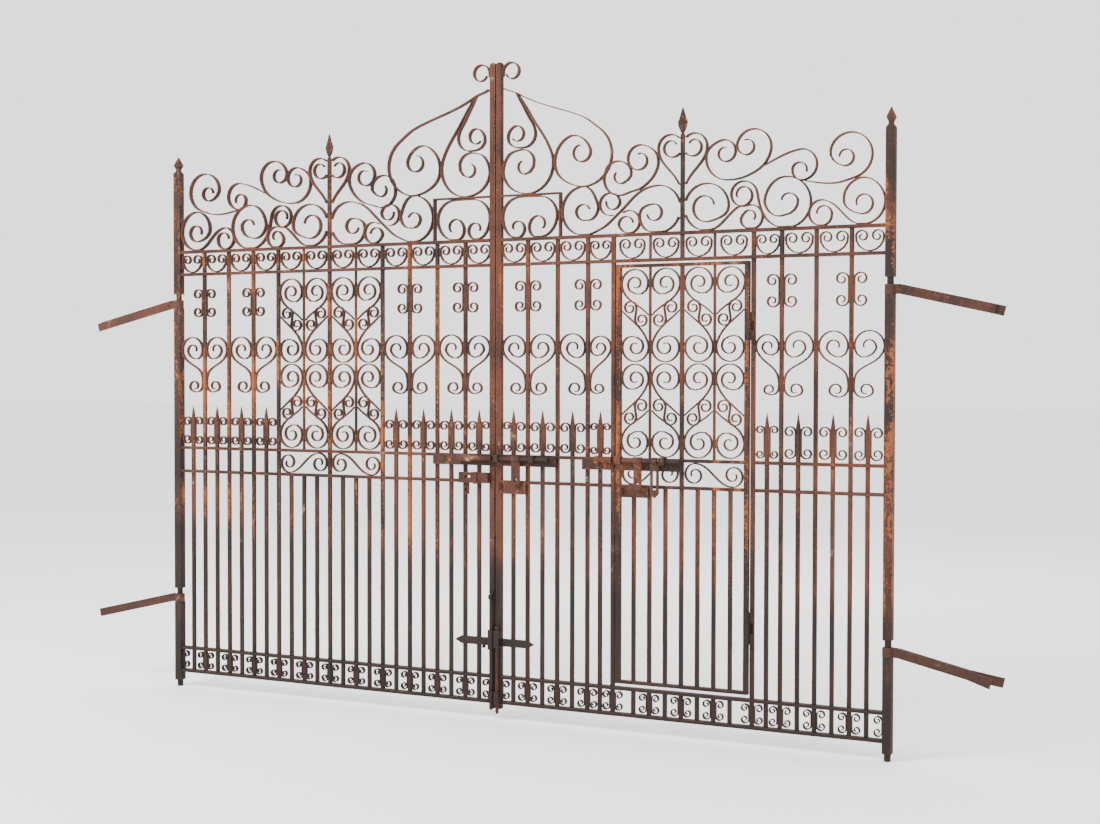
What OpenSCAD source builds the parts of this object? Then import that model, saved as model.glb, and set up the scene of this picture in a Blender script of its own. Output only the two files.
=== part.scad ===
/* [Overall] */
// Distance between the centre lines of the two hinge stiles
gate_w = 3600; // [3300:10:3900]
// Height of the top rail's centre line over the bottom rail's
top_rail_z = 2100; // [2100:10:2300]
// Gap between the two meeting stiles
meeting_gap = 6; // [5:1:12]
// Length of the journal stiles' feet under the bottom rail
foot_h = 80; // [60:5:120]

/* [Rails] */
// Thickness of every rail
rail_t = 14; // [10:1:16]
// Depth of every rail from front to back
rail_d = 32; // [28:1:36]
// Height of the frieze, from its lower rail's centre line to the top rail's
frieze_h = 112; // [108:1:116]
// Height of the upper lock rail
lock_rail_z = 1122; // [1118:1:1126]
// Height of the lower lock rail
band_rail_z = 1005; // [1000:1:1010]
// Height of the rail over the bottom scrolls
foot_rail_z = 115; // [112:1:120]

/* [Uprights] */
// Width of a hinge stile
stile_w = 38; // [34:1:42]
// How far a hinge stile rises over the top rail, up to its finial
stile_rise = 415; // [350:5:460]
// Width of a meeting stile
meeting_w = 27; // [24:1:28]
// How far the meeting stiles rise over the top rail
meeting_rise = 800; // [795:5:850]
// Width of an upright bar
bar_w = 17; // [13:1:18]
// Distance between the long bars
bar_pitch = 148; // [144:1:149]
// Height of the spear points over the upper lock rail
spear_h = 213; // [180:1:230]
// Clearance of a bar in the hole of a rail
hole_gap = 0.25; // [0.1:0.05:0.5]

/* [Scrolls] */
// Thickness of the scroll strip
strip_t = 5; // [4:0.5:6]
// Depth of the strip in the panels
strip_d = 20; // [16:1:24]
// Depth of the strip in the cresting
crest_d = 28; // [24:1:30]
// Clearance between a scroll and the bar or rail it is seated on
seat = 0.3; // [0.2:0.1:0.6]

/* [Wicket] */
// Width of the wicket door
wicket_w = 608; // [590:2:608]
// Height of the wicket's bottom rail
wicket_low_z = 145; // [140:1:160]
// Height of the wicket's top rail
wicket_top_z = 1965; // [1960:1:1967]
// Width of the wicket's stiles
wicket_stile_w = 20; // [17:1:21]
// Gap round the wicket
wicket_gap = 8; // [7:1:9]
// Width of the jamb bars beside the wicket
jamb_w = 18; // [16:1:20]

/* [Fittings] */
// Diameter of the centre bolt
centre_bolt_d = 18; // [16:1:20]
// Diameter of the wicket bolt
wicket_bolt_d = 20; // [16:1:22]
// Throw of the centre bolt and the wicket bolt
bolt_throw = 50; // [30:5:60]
// Radius of the hinge journals turned on the hinge stiles
journal_r = 14; // [12:0.5:15]
// Height of a wall strap
strap_h = 40; // [34:1:44]
// Thickness of a wall strap
strap_t = 9; // [7:1:10]
// Length of the left wall straps from the hinge axis
left_strap_l = 530; // [400:10:600]
// Length of the right wall straps from the hinge axis
right_strap_l = 460; // [400:10:600]
// Droop of the straps' tails
strap_droop = 13; // [8:1:15]

/* [Hidden] */
$fn = 48;

rust = "#7a4a3a";
rust_light = "#9a6038";
rust_dark = "#4a3630";

leaf_c = gate_w / 4;                         // hinge axis to the middle of a leaf
frieze_rail_z = top_rail_z - frieze_h;
stile_top_z = top_rail_z + stile_rise;
meeting_top_z = top_rail_z + meeting_rise;
panel_half = 2 * bar_pitch;                  // half the width of the dense panel
hinge_face = leaf_c - stile_w / 2;           // inner face of the hinge stile
meet_out = leaf_c - meeting_gap / 2;         // outer face of the meeting stile
meet_face = meet_out - meeting_w;            // inner face of the meeting stile
stile_s = (meet_out + meet_face) / 2;        // middle of the meeting stile
jamb_s = wicket_w / 2 + wicket_gap + jamb_w / 2;
rail_hi = rail_t / 2;
upper_journal = [1820, 1890];                // heights of the two journals
lower_journal = [344, 414];
strap_gap = 0.8;                             // strap round its journal
front = -rail_d / 2;                         // front faces of the rails
plate_t = 6;

// The origin lies on the back face of the lower left strap's tail
origin_x = -130;
strap_bend_x = 38;                           // where a strap starts to droop
origin_y = strap_t;
origin_z = lower_journal[0] + strap_h / 2 - (-origin_x - strap_bend_x) * tan(strap_droop);

module place() { translate([-origin_x, -origin_y, -origin_z]) children(); }

// A leaf is drawn with its middle at x = 0 and its hinge stile on the right
module on_leaf(side) {
    if (side == "right") translate([gate_w - leaf_c, 0, 0]) children();
    else translate([leaf_c, 0, 0]) mirror([1, 0, 0]) children();
}

// ---- bars, rails and outlines ----
module bar(x, z0, z1, w = bar_w, d = undef) {
    dd = is_undef(d) ? w : d;
    translate([x - w / 2, -dd / 2, z0]) cube([w, dd, z1 - z0]);
}

module upright_profile(d) {                  // extrudes a front view outline to a depth d
    translate([0, d / 2, 0]) rotate([90, 0, 0]) linear_extrude(height = d) children();
}

// A square bar with a spear point
module spear(x, z0, z1, w = bar_w, point = 65) {
    outline = [[-w / 2, z0], [w / 2, z0], [w / 2, z1 - point], [0, z1], [-w / 2, z1 - point]];
    translate([x, 0, 0]) intersection() {
        upright_profile(w) polygon(outline);
        rotate([0, 0, 90]) upright_profile(w) polygon(outline);
    }
}

module rail(x0, x1, z, holes = [], w = bar_w) {
    difference() {
        translate([x0, -rail_d / 2, z - rail_hi]) cube([x1 - x0, rail_d, rail_t]);
        for (x = holes)
            if (x > x0 && x < x1)
                bar(x, z - rail_t, z + rail_t, w + 2 * hole_gap);
    }
}

// ---- scroll strips ----
// A strip is a list of spirals [x, z, first r, last r, first angle, last angle]
// and knots [x, z, heading]; smooth links run between them
turn_step = 30;                              // degrees between the points of a big curl
curl_step = 45;                              // and of a small one
function steps(k) = max(1, ceil(abs(k[5] - k[4]) / (max(k[2], k[3]) < 42 ? curl_step : turn_step)));
function spiral_points(k) = let (n = steps(k))
    [for (i = [0:n]) let (t = i / n, a = k[4] + t * (k[5] - k[4]), r = k[2] + t * (k[3] - k[2]))
        [k[0] + r * cos(a), k[1] + r * sin(a)]];
function is_knot(k) = len(k) == 3;
function run(k) = is_knot(k) ? [[k[0], k[1]]] : spiral_points(k);
function heading(k, last) = is_knot(k) ? [cos(k[2]), sin(k[2])] :
    let (a = last ? k[5] : k[4], s = sign(k[5] - k[4])) [-s * sin(a), s * cos(a)];
function link(p, u, q, v, n = 4) = let (h = norm(q - p) * 0.38, b = p + h * u, c = q - h * v)
    [for (i = [1:n - 1]) let (t = i / n, o = 1 - t)
        o * o * o * p + 3 * o * o * t * b + 3 * o * t * t * c + t * t * t * q];
function last_of(l) = l[len(l) - 1];
function strip_line(ks, i = 0) = i == len(ks) - 1 ? run(ks[i]) :
    let (a = run(ks[i]), b = run(ks[i + 1]), p = last_of(a), q = b[0], d = norm(q - p))
        concat(a, d < 2 ? [] : link(p, heading(ks[i], true), q, heading(ks[i + 1], false),
            d < 30 ? 2 : 4), strip_line(ks, i + 1));
function side(l, d) = [for (i = [0:len(l) - 1])
    let (v = l[min(i + 1, len(l) - 1)] - l[max(i - 1, 0)], n = [-v[1], v[0]] / norm(v)) l[i] + d * n];
function flip(l) = [for (i = [len(l) - 1:-1:0]) l[i]];
function ribbon(ks, t) = let (l = strip_line(ks)) concat(side(l, t / 2), flip(side(l, -t / 2)));

module strip(ks, t = strip_t, d = strip_d) {
    upright_profile(d) polygon(ribbon(ks, t));
}

// Moves, mirrors or narrows a strip about x, or mirrors it about a height
function shift(ks, x, m = 1, w = 1) = [for (k = ks) is_knot(k) ?
    [x + m * w * k[0], k[1], m > 0 ? k[2] : 180 - k[2]] :
    [x + m * w * k[0], k[1], k[2] * w, k[3] * w, m > 0 ? k[4] : 180 - k[4], m > 0 ? k[5] : 180 - k[5]]];
function over(ks, zc) = [for (k = ks) is_knot(k) ? [k[0], 2 * zc - k[1], -k[2]] :
    [k[0], 2 * zc - k[1], k[2], k[3], -k[4], -k[5]]];

// C scroll with its back at x = 0, curls of radius r and ends at z0 and z1
function c_scroll(r, z0, z1, inner = 0.3, turns = 1.25) = let (c = r + strip_t / 2)
    [[c, z1 - c, r * inner, r, 180 - 360 * turns, 180],
     [c, z0 + c, r, r * inner, 180, 180 + 360 * turns]];

// ---- uprights ----
finial_w = 36;
finial_l = 65;
finial_wide = 0.3;                           // where the finial is widest, of its length
neck_w = 20;
neck_h = 8;
shoulder_h = 22;
foot_pin_h = 30;                             // the round foot below the square one
foot_pin_part = 0.75;                        // its width, of the stile's

module hinge_stile() {
    half = stile_w / 2;
    color(rust_light) translate([leaf_c, 0, 0]) {
        intersection_of_views([[-half, 0], [half, 0], [half, lower_journal[0]], [-half, lower_journal[0]]]);
        translate([0, 0, -foot_h]) cylinder(r = half * foot_pin_part, h = foot_pin_h);
        translate([-half, -half, foot_pin_h - foot_h]) cube([stile_w, stile_w, foot_h - foot_pin_h]);
        translate([0, 0, lower_journal[0]]) cylinder(r = journal_r, h = lower_journal[1] - lower_journal[0]);
        translate([-half, -half, lower_journal[1]])
            cube([stile_w, stile_w, upper_journal[0] - lower_journal[1]]);
        translate([0, 0, upper_journal[0]]) cylinder(r = journal_r, h = upper_journal[1] - upper_journal[0]);
        intersection_of_views([[-half, upper_journal[1]], [half, upper_journal[1]],
            [half, stile_top_z - shoulder_h], [neck_w / 2, stile_top_z - neck_h],
            [neck_w / 2, stile_top_z], [finial_w / 2, stile_top_z + finial_l * finial_wide],
            [0, stile_top_z + finial_l],
            [-finial_w / 2, stile_top_z + finial_l * finial_wide], [-neck_w / 2, stile_top_z],
            [-neck_w / 2, stile_top_z - neck_h], [-half, stile_top_z - shoulder_h]]);
    }
}

// A square piece with the same outline from the front and from the side
module intersection_of_views(outline) {
    w = 2 * max([for (p = outline) p[0]]);
    intersection() {
        upright_profile(w) polygon(outline);
        rotate([0, 0, 90]) upright_profile(w) polygon(outline);
    }
}

meeting_foot_h = 30;                         // meeting stile's foot under the bottom rail
meeting_cut = [6, 8];                        // corners cut off its top
module meeting_stile() {
    half = meeting_w / 2;
    cut_z = meeting_top_z - meeting_cut[1];
    color(rust) translate([-stile_s, 0, 0])
        intersection_of_views([[-half, -meeting_foot_h], [half, -meeting_foot_h], [half, cut_z],
            [half - meeting_cut[0], meeting_top_z], [meeting_cut[0] - half, meeting_top_z],
            [-half, cut_z]]);
}

last_dog_in = 2;                             // the last spear bar stands this much nearer the panel
dog_s = [for (k = [2:5]) (k + 0.5) * bar_pitch - (k == 5 ? last_dog_in : 0)];
long_s = [for (k = [3:5]) k * bar_pitch];
panel_edge = panel_half + bar_w / 2;
jamb_edge = jamb_s + jamb_w / 2;
jamb_dog = (jamb_edge + long_s[0] - bar_w / 2) / 2;    // the spear bar next to a door jamb
panel_dogs = [-1.5, -0.5, 0.5, 1.5] * bar_pitch;
thin_w = 11;                                 // bars between the columns of the dense panel
low_end = -rail_hi;
high_end = top_rail_z + rail_hi;
panel_centre_z = (lock_rail_z + rail_hi + wicket_top_z - rail_hi) / 2;

function both(l) = concat([for (x = flip(l)) -x], l);

// ---- left leaf's grille ----
module left_rails() {
    longs = both(long_s);
    dogs = both(dog_s);
    lower = concat(longs, dogs, panel_dogs, [-2, -1, 0, 1, 2] * bar_pitch);
    color(rust) {
        for (z = [0, foot_rail_z, band_rail_z]) rail(-meet_face, hinge_face, z, lower);
        difference() {
            rail(-meet_face, hinge_face, lock_rail_z, concat(longs, dogs, [-2, 0, 2] * bar_pitch));
            panel_bar_holes(lock_rail_z);
        }
        for (z = [frieze_rail_z, top_rail_z]) difference() {
            rail(-meet_face, hinge_face, z, concat(longs, [-2, 0, 2] * bar_pitch));
            panel_bar_holes(z);
        }
    }
}

module panel_bar_holes(z) {
    for (s = [-bar_pitch, bar_pitch]) bar(s, z - rail_t, z + rail_t, thin_w + 2 * hole_gap);
}

module left_long_bars() {
    color(rust_light) {
        for (s = concat(both(long_s), [-2, 0, 2] * bar_pitch)) bar(s, low_end, high_end);
        for (s = [-bar_pitch, bar_pitch]) {
            bar(s, low_end, band_rail_z + rail_hi);
            bar(s, lock_rail_z - rail_hi, high_end, thin_w);
        }
    }
}

module left_spear_bars() {
    color(rust) {
        for (s = both(dog_s)) spear(s, low_end, lock_rail_z + spear_h);
        for (s = panel_dogs) bar(s, low_end, band_rail_z + rail_hi);
    }
}

// ---- scrolls of the grille ----
// The clear stretches between uprights, as [left face, right face]
function cells(x, w) = [for (i = [0:len(x) - 2]) [x[i] + w[i] / 2, x[i + 1] - w[i + 1] / 2]];

// A ring open at its top, both ends curled in: half width 60.5 with its strip
frieze_mid = (frieze_rail_z + top_rail_z) / 2;
ring = [[-31, frieze_mid + 14, 8, 27, -250, 170],
    [0, frieze_rail_z + rail_hi + seat + strip_t / 2, 0],
    [31, frieze_mid + 14, 27, 8, 10, 430]];
ring_w = 116 + strip_t;

module frieze_rings(uprights, widths) {
    color(rust)
        for (c = cells(uprights, widths))
            strip(shift(ring, (c[0] + c[1]) / 2, 1, min(1, (c[1] - c[0] - 2 * seat) / ring_w)));
}

module left_frieze_rings() {
    inner = [0, 1, 2, 3, 4, 5] * bar_pitch;
    frieze_rings(concat([-stile_s], flip(-inner), [1, 2, 3, 4, 5] * bar_pitch, [leaf_c]),
        [meeting_w, bar_w, bar_w, bar_w, bar_w, thin_w, bar_w, thin_w, bar_w, bar_w, bar_w, bar_w,
            stile_w]);
}

module right_frieze_rings() {
    frieze_rings(concat([-stile_s], right_uprights, [leaf_c]),
        [meeting_w, bar_w, bar_w, bar_w, jamb_w, thin_w, bar_w, thin_w, jamb_w, bar_w, bar_w, bar_w,
            stile_w]);
}
right_uprights = concat(flip(-long_s), [-jamb_s, -bar_pitch, 0, bar_pitch, jamb_s], long_s);

// Big curl over a small one, seated on a bar at x = 0
heart_w = 128 + strip_t;
heart = [[61, 1610, 16, 36, 560, 340], [66.5, 1612, 61, 63.5, 215, -25], [5, 1474, -95],
    [43.4, 1439, 40, 38, 185, 290], [53, 1430, 31, 12, 345, 650]];
pair_r = 29;                                 // curls of the small scrolls over the hearts
pair_z = [1770, 1918];
spear_scroll_z = [lock_rail_z + 16, lock_rail_z + 160];
spear_curl_r = 27;

// The scrolls on one side (m = 1 or -1) of a decorated bar, clear is the free width
module bar_scrolls(s, m, clear) {
    x = s + m * (bar_w / 2 + seat);
    strip(shift(heart, x, m, min(1, (clear - 2 * seat) / heart_w)));
    strip(shift(c_scroll(pair_r, pair_z[0], pair_z[1]), x, m));
}

function curl_r(clear, r) = min(r, (clear - 2 * seat - strip_t) / 2);

module spear_scroll(s, m, clear) {
    strip(shift(c_scroll(curl_r(clear, spear_curl_r), spear_scroll_z[0], spear_scroll_z[1]),
        s + m * (bar_w / 2 + seat), m));
}

// Scrolls of the plain cells on one side of the leaf: inner edge, first spear bar and stile face
module plain_scrolls(edge, first_dog, stile_face) {
    d = concat([first_dog], [for (i = [1:3]) dog_s[i]]);
    l = concat([edge - bar_w / 2], long_s, [stile_face + bar_w / 2]);
    color(rust) {
        for (i = [0:3]) {
            spear_scroll(d[i], -1, d[i] - l[i] - bar_w);
            spear_scroll(d[i], 1, l[i + 1] - d[i] - bar_w);
        }
        for (i = [1, 3]) {
            bar_scrolls(l[i], -1, l[i] - l[i - 1] - bar_w);
            bar_scrolls(l[i], 1, l[i + 1] - l[i] - bar_w);
        }
    }
}

module outer_scrolls(edge, first_dog) { plain_scrolls(edge, first_dog, hinge_face); }
module inner_scrolls(edge, first_dog) { mirror([1, 0, 0]) plain_scrolls(edge, first_dog, meet_face); }

// Scrolls between the two lowest rails, backs on the long bars and the stiles
left_longs = concat([-stile_s], [for (k = [-5:5]) k * bar_pitch], [leaf_c]);
left_long_widths = concat([meeting_w], [for (k = [-5:5]) bar_w], [stile_w]);
right_longs = concat([-stile_s], right_uprights, [leaf_c]);
right_long_widths = [meeting_w, bar_w, bar_w, bar_w, jamb_w, bar_w, bar_w, bar_w, jamb_w,
    bar_w, bar_w, bar_w, stile_w];
foot_scroll_r = 19.3;
foot_scroll_gap = 5;                         // clear of the rails over and under them
foot_strip_t = strip_t - 1;
foot_curl = 0.25;                            // inner end of their curls, of the radius
module foot_scrolls(longs, widths) {
    z0 = rail_hi + foot_scroll_gap;
    z1 = foot_rail_z - rail_hi - foot_scroll_gap;
    color(rust_dark)
        for (i = [0:len(longs) - 1]) for (m = [-1, 1]) {
            x = longs[i] + m * (widths[i] / 2 + seat);
            if (x > -meet_face && x < hinge_face)
                strip(shift(c_scroll(foot_scroll_r, z0, z1, foot_curl), x, m), foot_strip_t);
        }
}

// One column of the dense panel, over its middle height
column_w = 126.6 + strip_t;
big_r = 64.5;
top_z = wicket_top_z - rail_hi - 3 - strip_t / 2 - big_r;
mid_z = panel_centre_z + seat + strip_t / 2 + big_r;
column = [
    [[2, top_z - 2, 14, 40, -480, -130], [0, top_z, 60, big_r, -30, 190], [63.5, top_z - 138, -50]],
    [[-63.5, mid_z + 160, -45], [0, mid_z, big_r, 60, 20, -210], [2, mid_z + 2, 40, 14, -310, -660]],
    [[-24, top_z - 106, 9, 31, 495, 45], [30, top_z - 157, 31, 9, 225, 675]]];

// A strip between the two lock rails that spans two columns
band_mid = (lock_rail_z + band_rail_z) / 2;
band_r = (lock_rail_z - band_rail_z - rail_t) / 2 - seat - strip_t / 2;
band_end_r = 14;

module panel_scrolls(edge) {                 // edge: inner face of the upright beside the panel
    color(rust) {
        faces = [[-edge, -bar_pitch - thin_w / 2], [thin_w / 2 - bar_pitch, -bar_w / 2]];
        for (i = [0, 1]) for (m = [-1, 1]) for (k = column) {
            mid = (faces[i][0] + faces[i][1]) / 2;
            w = (faces[i][1] - faces[i][0] - 2 * seat) / column_w;
            flipped = shift(k, 0, i == 0 ? 1 : -1);
            strip(shift(flipped, m * -mid, -m, w));
            strip(shift(over(flipped, panel_centre_z), m * -mid, -m, w));
        }
        a = edge - seat - strip_t / 2 - band_r;
        b = bar_w / 2 + seat + strip_t / 2 + band_r;
        for (m = [-1, 1])
            strip(shift([[-a, band_mid, band_end_r, band_r, -210, 270],
                [-b, band_mid, band_r, band_end_r, 90, -390]], 0, -m));
    }
}

module left_outer_scrolls() { on_leaf("left") outer_scrolls(panel_edge, dog_s[0]); }
module left_inner_scrolls() { on_leaf("left") inner_scrolls(panel_edge, dog_s[0]); }
module right_outer_scrolls() { on_leaf("right") outer_scrolls(jamb_edge, jamb_dog); }
module right_inner_scrolls() { on_leaf("right") inner_scrolls(jamb_edge, jamb_dog); }
module left_panel_scrolls() { on_leaf("left") panel_scrolls(panel_half - bar_w / 2); }
module left_foot_scrolls() { on_leaf("left") foot_scrolls(left_longs, left_long_widths); }
module right_foot_scrolls() { on_leaf("right") foot_scrolls(right_longs, right_long_widths); }
module wicket_panel_scrolls() { on_leaf("right") panel_scrolls(wicket_half - wicket_stile_w); }

// ---- cresting ----
// Strips over the top rail, x from the gate's centre line and z as over a rail at crest_rail_z
crest_rail_z = 2100;
crest_lift = top_rail_z - crest_rail_z;
post_u = leaf_c;
crest = [
    // tall curve from the meeting stile with a curl at its top
    [[78, 2855, 30, 44, 200, 540], [31.5, 2800, -90], [106, 2755, -30], [418, 2634, -22],
        [430, 2456, 142, 134, 55, -110], [416, 2440, 124, 118, -170, -240], [422, 2472, 46, 34, -340, -620]],
    // second curve from the slope
    [[108, 2752, -52], [205, 2604, -55], [150, 2424, 138, 119.5, 20, -100],
        [150, 2420, 118, 108, -170, -205], [135, 2440, 62, 56, -260, -350], [142, 2426, 36, 28, -450, -600]],
    // third, nearest the stile
    [[100, 2756, -62], [160, 2650, -62], [137, 2570, 60, 60, 10, -90], [112, 2565, 56, 48, -150, -220],
        [102, 2570, 40, 26, -290, -500]],
    // low pair of curls beside the stile
    [[104, 2152, 18, 47, 200, -85], [119, 2203, 86, 86, -190, -265], [217, 2203, 86, 88, 90, -10],
        [216, 2152, 50, 50, -70, -200], [212, 2163, 40, 28, -260, -400]],
    // long strip from the post to the big low curl
    [[768, 2192, 32, 38, 190, 450], [775, 2186, 74, 80, 540, 600], [789, 2207, 102, 102, 640, 815],
        [660, 2250, 225], [560, 2158, 222], [438, 2214, 108, 108, -65, -265], [438, 2210, 70, 40, -342, -433],
        [434, 2210, 36, 30, -530, -700]],
    [[652, 2157, 50, 49, 125, -150], [640, 2147, 37, 31, -180, -350]],
    [[562, 2238, 50, 48, -75, -345], [572, 2247, 36, 29, -375, -550]],
    // upper strip left of the post
    [[700, 2425, 24, 64, 110, -280], [706, 2415, 82, 84, -360, -380], [721, 2308, 215],
        [606, 2349, 76, 73, -65, -200], [602, 2356, 70, 63, -235, -340], [610, 2358, 34, 26, -430, -580]],
    // right of the post: low
    [[1005, 2208, 38, 66, 10, 285], [1010, 2207, 99, 101, 360, 628], [1146, 2198, 35],
        [1208, 2155, 52, 49, 110, -150], [1204, 2157, 30, 20, -230, -400]],
    [[1172, 2250, 27, 63, 200, -350], [1360, 2210, 106, 108, -120, 92], [1352, 2210, 86, 52, 175, 270],
        [1362, 2212, 50, 22, 370, 520]],
    // upper, from the post to the stile
    [[1092, 2432, 20, 56, 79, 468], [1095, 2425, 89, 108, 548, 626], [1225, 2345, 28],
        [1217, 2448, 79, 74, -15, 170], [1188, 2453, 36, 28, 260, 470]],
    [[1266.5, 2369.5, 25], [1428, 2362, 66, 62, 100, -100], [1420, 2342, 34, 28, -190, -380]],
    [[1424, 2300, -12], [1560, 2280, 0], [1630, 2396, 98, 84, -75, 165], [1612, 2386, 38, 26, 260, 540]],
    [[1686, 2195, 27, 46, 202, -99], [1684, 2202, 80, 96, -190, -265], [1685, 2199, 92, 92, -350, -450],
        [1512, 2160, 54, 52, 75, 290], [1518, 2157, 38, 26, 360, 540]]];
lyre = [[50, 2468, 24, 62, 150, -360], [9, 2285, -100]];   // beside the post, mirrored about it
frame_x = 325;                                             // square frame round the low curls
frame_z = 2298;
frame_t = 8;
crest_cut = 70;                                            // the strips are cut flat on the rail
leaf_point = [for (rise = [425, 475, 538]) top_rail_z + rise];   // post's neck, widest place and tip

module cresting() {
    base = high_end + seat;
    color(rust) difference() {
        translate([-post_u, 0, crest_lift]) {
            for (k = crest) strip(k, strip_t, crest_d);
            for (m = [-1, 1]) strip(shift(lyre, post_u, m), strip_t, crest_d);
            translate([meeting_gap / 2 + meeting_w, -crest_d / 2, frame_z - frame_t / 2])
                cube([frame_x - meeting_gap / 2 - meeting_w, crest_d, frame_t]);
            translate([frame_x - frame_t, -crest_d / 2, crest_rail_z])
                cube([frame_t, crest_d, frame_z - crest_rail_z]);
        }
        translate([-leaf_c, -crest_d, base - crest_cut])
            cube([2 * leaf_c, 2 * crest_d, crest_cut]);
        bar(0, top_rail_z, leaf_point[1], bar_w + 2 * seat, 2 * crest_d);
        bar(-stile_s, top_rail_z, meeting_top_z + rail_t, meeting_w + 2 * seat, 2 * crest_d);
        bar(leaf_c, top_rail_z, stile_top_z, stile_w + 2 * seat, 2 * crest_d);
    }
}

// The spear post in the middle of a leaf
collar_r = 10;
collar_h = 8;
leaf_t = 10;
module crest_post() {
    outline = [[6, leaf_point[0]], [15, leaf_point[0] + 14], [23, leaf_point[1]],
        [13, leaf_point[1] + 28], [0, leaf_point[2]]];
    color(rust_light) {
        bar(0, high_end, leaf_point[0] - collar_h);
        translate([0, 0, leaf_point[0] - collar_h]) cylinder(r = collar_r, h = collar_h + 1);
        upright_profile(leaf_t)
            polygon(concat(outline, [for (p = flip(outline)) if (p[0] > 0) [-p[0], p[1]]]));
    }
}

// ---- right leaf's grille, round the wicket ----
module right_head_rails() {
    color(rust) for (z = [frieze_rail_z, top_rail_z]) difference() {
        rail(-meet_face, hinge_face, z, concat(both(long_s), [0]));
        panel_bar_holes(z);
        for (m = [-1, 1]) bar(m * jamb_s, z - rail_t, z + rail_t, jamb_w + 2 * hole_gap);
    }
}

module right_foot_rails() {
    color(rust_dark) for (z = [0, foot_rail_z]) difference() {
        rail(-meet_face, hinge_face, z, concat(both(long_s), both(right_dogs()), panel_dogs,
            [-1, 0, 1] * bar_pitch));
        for (m = [-1, 1]) bar(m * jamb_s, z - rail_t, z + rail_t, jamb_w + 2 * hole_gap);
    }
}

function right_dogs() = concat([jamb_dog], [for (i = [1:3]) dog_s[i]]);

// Bars and lock rails between a door jamb and the stile, as drawn on the hinge side
module side_grille(m, face) {
    color(rust) mirror([m < 0 ? 1 : 0, 0, 0]) {
        bar(jamb_s, low_end, high_end, jamb_w);
        for (s = long_s) bar(s, low_end, high_end);
        for (s = right_dogs()) spear(s, low_end, lock_rail_z + spear_h);
        for (z = [band_rail_z, lock_rail_z])
            rail(jamb_edge, face, z, concat(long_s, right_dogs()));
    }
}

module right_door_bars() {                   // the short bars over and under the wicket
    color(rust) {
        for (s = [-1, 0, 1] * bar_pitch) {
            bar(s, frieze_rail_z - rail_hi, high_end, s == 0 ? bar_w : thin_w);
            bar(s, low_end, foot_rail_z + rail_hi);
        }
        for (s = panel_dogs) bar(s, low_end, foot_rail_z + rail_hi);
    }
}

// ---- wicket ----
wicket_d = 26;
wicket_half = wicket_w / 2;
wicket_front = -wicket_d / 2;
module wicket_frame() {
    color(rust_light) {
        for (m = [-1, 1])
            bar(m * (wicket_half - wicket_stile_w / 2), wicket_low_z - rail_hi, wicket_top_z + rail_hi,
                wicket_stile_w, wicket_d);
        for (z = [wicket_low_z, band_rail_z, lock_rail_z, wicket_top_z])
            difference() {
                translate([wicket_stile_w - wicket_half, wicket_front, z - rail_hi])
                    cube([wicket_w - 2 * wicket_stile_w, wicket_d, rail_t]);
                if (z < lock_rail_z)
                    for (s = concat(panel_dogs, [-1, 1] * bar_pitch))
                        bar(s, z - rail_t, z + rail_t, bar_w + 2 * hole_gap);
                else
                    panel_bar_holes(z);
                bar(0, z - rail_t, z + rail_t, bar_w + 2 * hole_gap);
            }
    }
}

module wicket_bars() {
    z0 = wicket_low_z - rail_hi;
    color(rust) {
        bar(0, z0, wicket_top_z + rail_hi);
        for (s = concat(panel_dogs, [-1, 1] * bar_pitch)) bar(s, z0, band_rail_z + rail_hi);
        for (s = [-bar_pitch, bar_pitch]) bar(s, lock_rail_z - rail_hi, wicket_top_z + rail_hi, thin_w);
    }
}

// ---- wall straps ----
// A flat bar folded round a journal, its two legs side by side and opening at the end
fork_part = 0.62;                            // where the legs part, of the strap's length
short_leg = 35;                              // how much shorter the front leg is
strap_lift = 0.5;                            // over the journal's lower shoulder
bend_lap = 4;
module wall_strap(z, splay, strap_l) {
    outer = journal_r + strap_gap + strap_t;
    fork = strap_l * fork_part;
    lift = z + strap_lift;
    difference() {
        union() {
            translate([0, 0, lift]) cylinder(r = outer, h = strap_h);
            translate([-strap_bend_x - bend_lap, -strap_t, lift])
                cube([strap_bend_x + bend_lap, 2 * strap_t, strap_h]);
        }
        translate([0, 0, lift - 1]) cylinder(r = journal_r + strap_gap, h = strap_h + 2);
    }
    translate([-strap_bend_x, 0, lift]) rotate([0, -strap_droop, 0])
        for (m = [0, 1])
            translate([0, m == 0 ? 0 : -strap_t, 0]) linear_extrude(height = strap_h)
                let (o = m == 0 ? splay : -splay, n = strap_l - strap_bend_x - m * short_leg)
                polygon([[0, 0], [-fork, 0], [-n, o], [-n, o + strap_t], [-fork, strap_t], [0, strap_t]]);
}

module straps(low_splay, strap_l) {
    color(rust_dark) {
        wall_strap(upper_journal[0], 0.4, strap_l);
        wall_strap(lower_journal[0], low_splay, strap_l);
    }
}

module left_straps() { straps(26, left_strap_l); }
module right_straps() { translate([gate_w, 0, 0]) mirror([1, 0, 0]) straps(44, right_strap_l); }

// ---- fittings, x from the gate's centre line ----
module centred() { translate([gate_w / 2, 0, 0]) children(); }

bolt_off = 17;                               // bolts' axes in front of their plates
bolt_y = front - plate_t - bolt_off;
lock_z = lock_rail_z - 10;                   // axis of the centre bolt
wicket_bolt_z = lock_rail_z - 2;
lock_plate_drop = 34;                        // lower edges of the lock plates under the axis
wicket_plate_drop = 38;
bolt_play = 0.5;
bolt_tip = meeting_gap / 2 + 0.5;            // the drawn bolt's end, from the centre line
bolt_len = 275;
centre_guides = [[9, 24], [188, 24]];        // start and width of the centre bolt's guides
hasp_x = [95, 45];                           // start and width of the drawn centre hasp
eye_gap = 6;

module plate(x0, x1, z0, z1, y = front, t = plate_t) {
    translate([x0, y - t, z0]) cube([x1 - x0, t, z1 - z0]);
}

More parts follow.
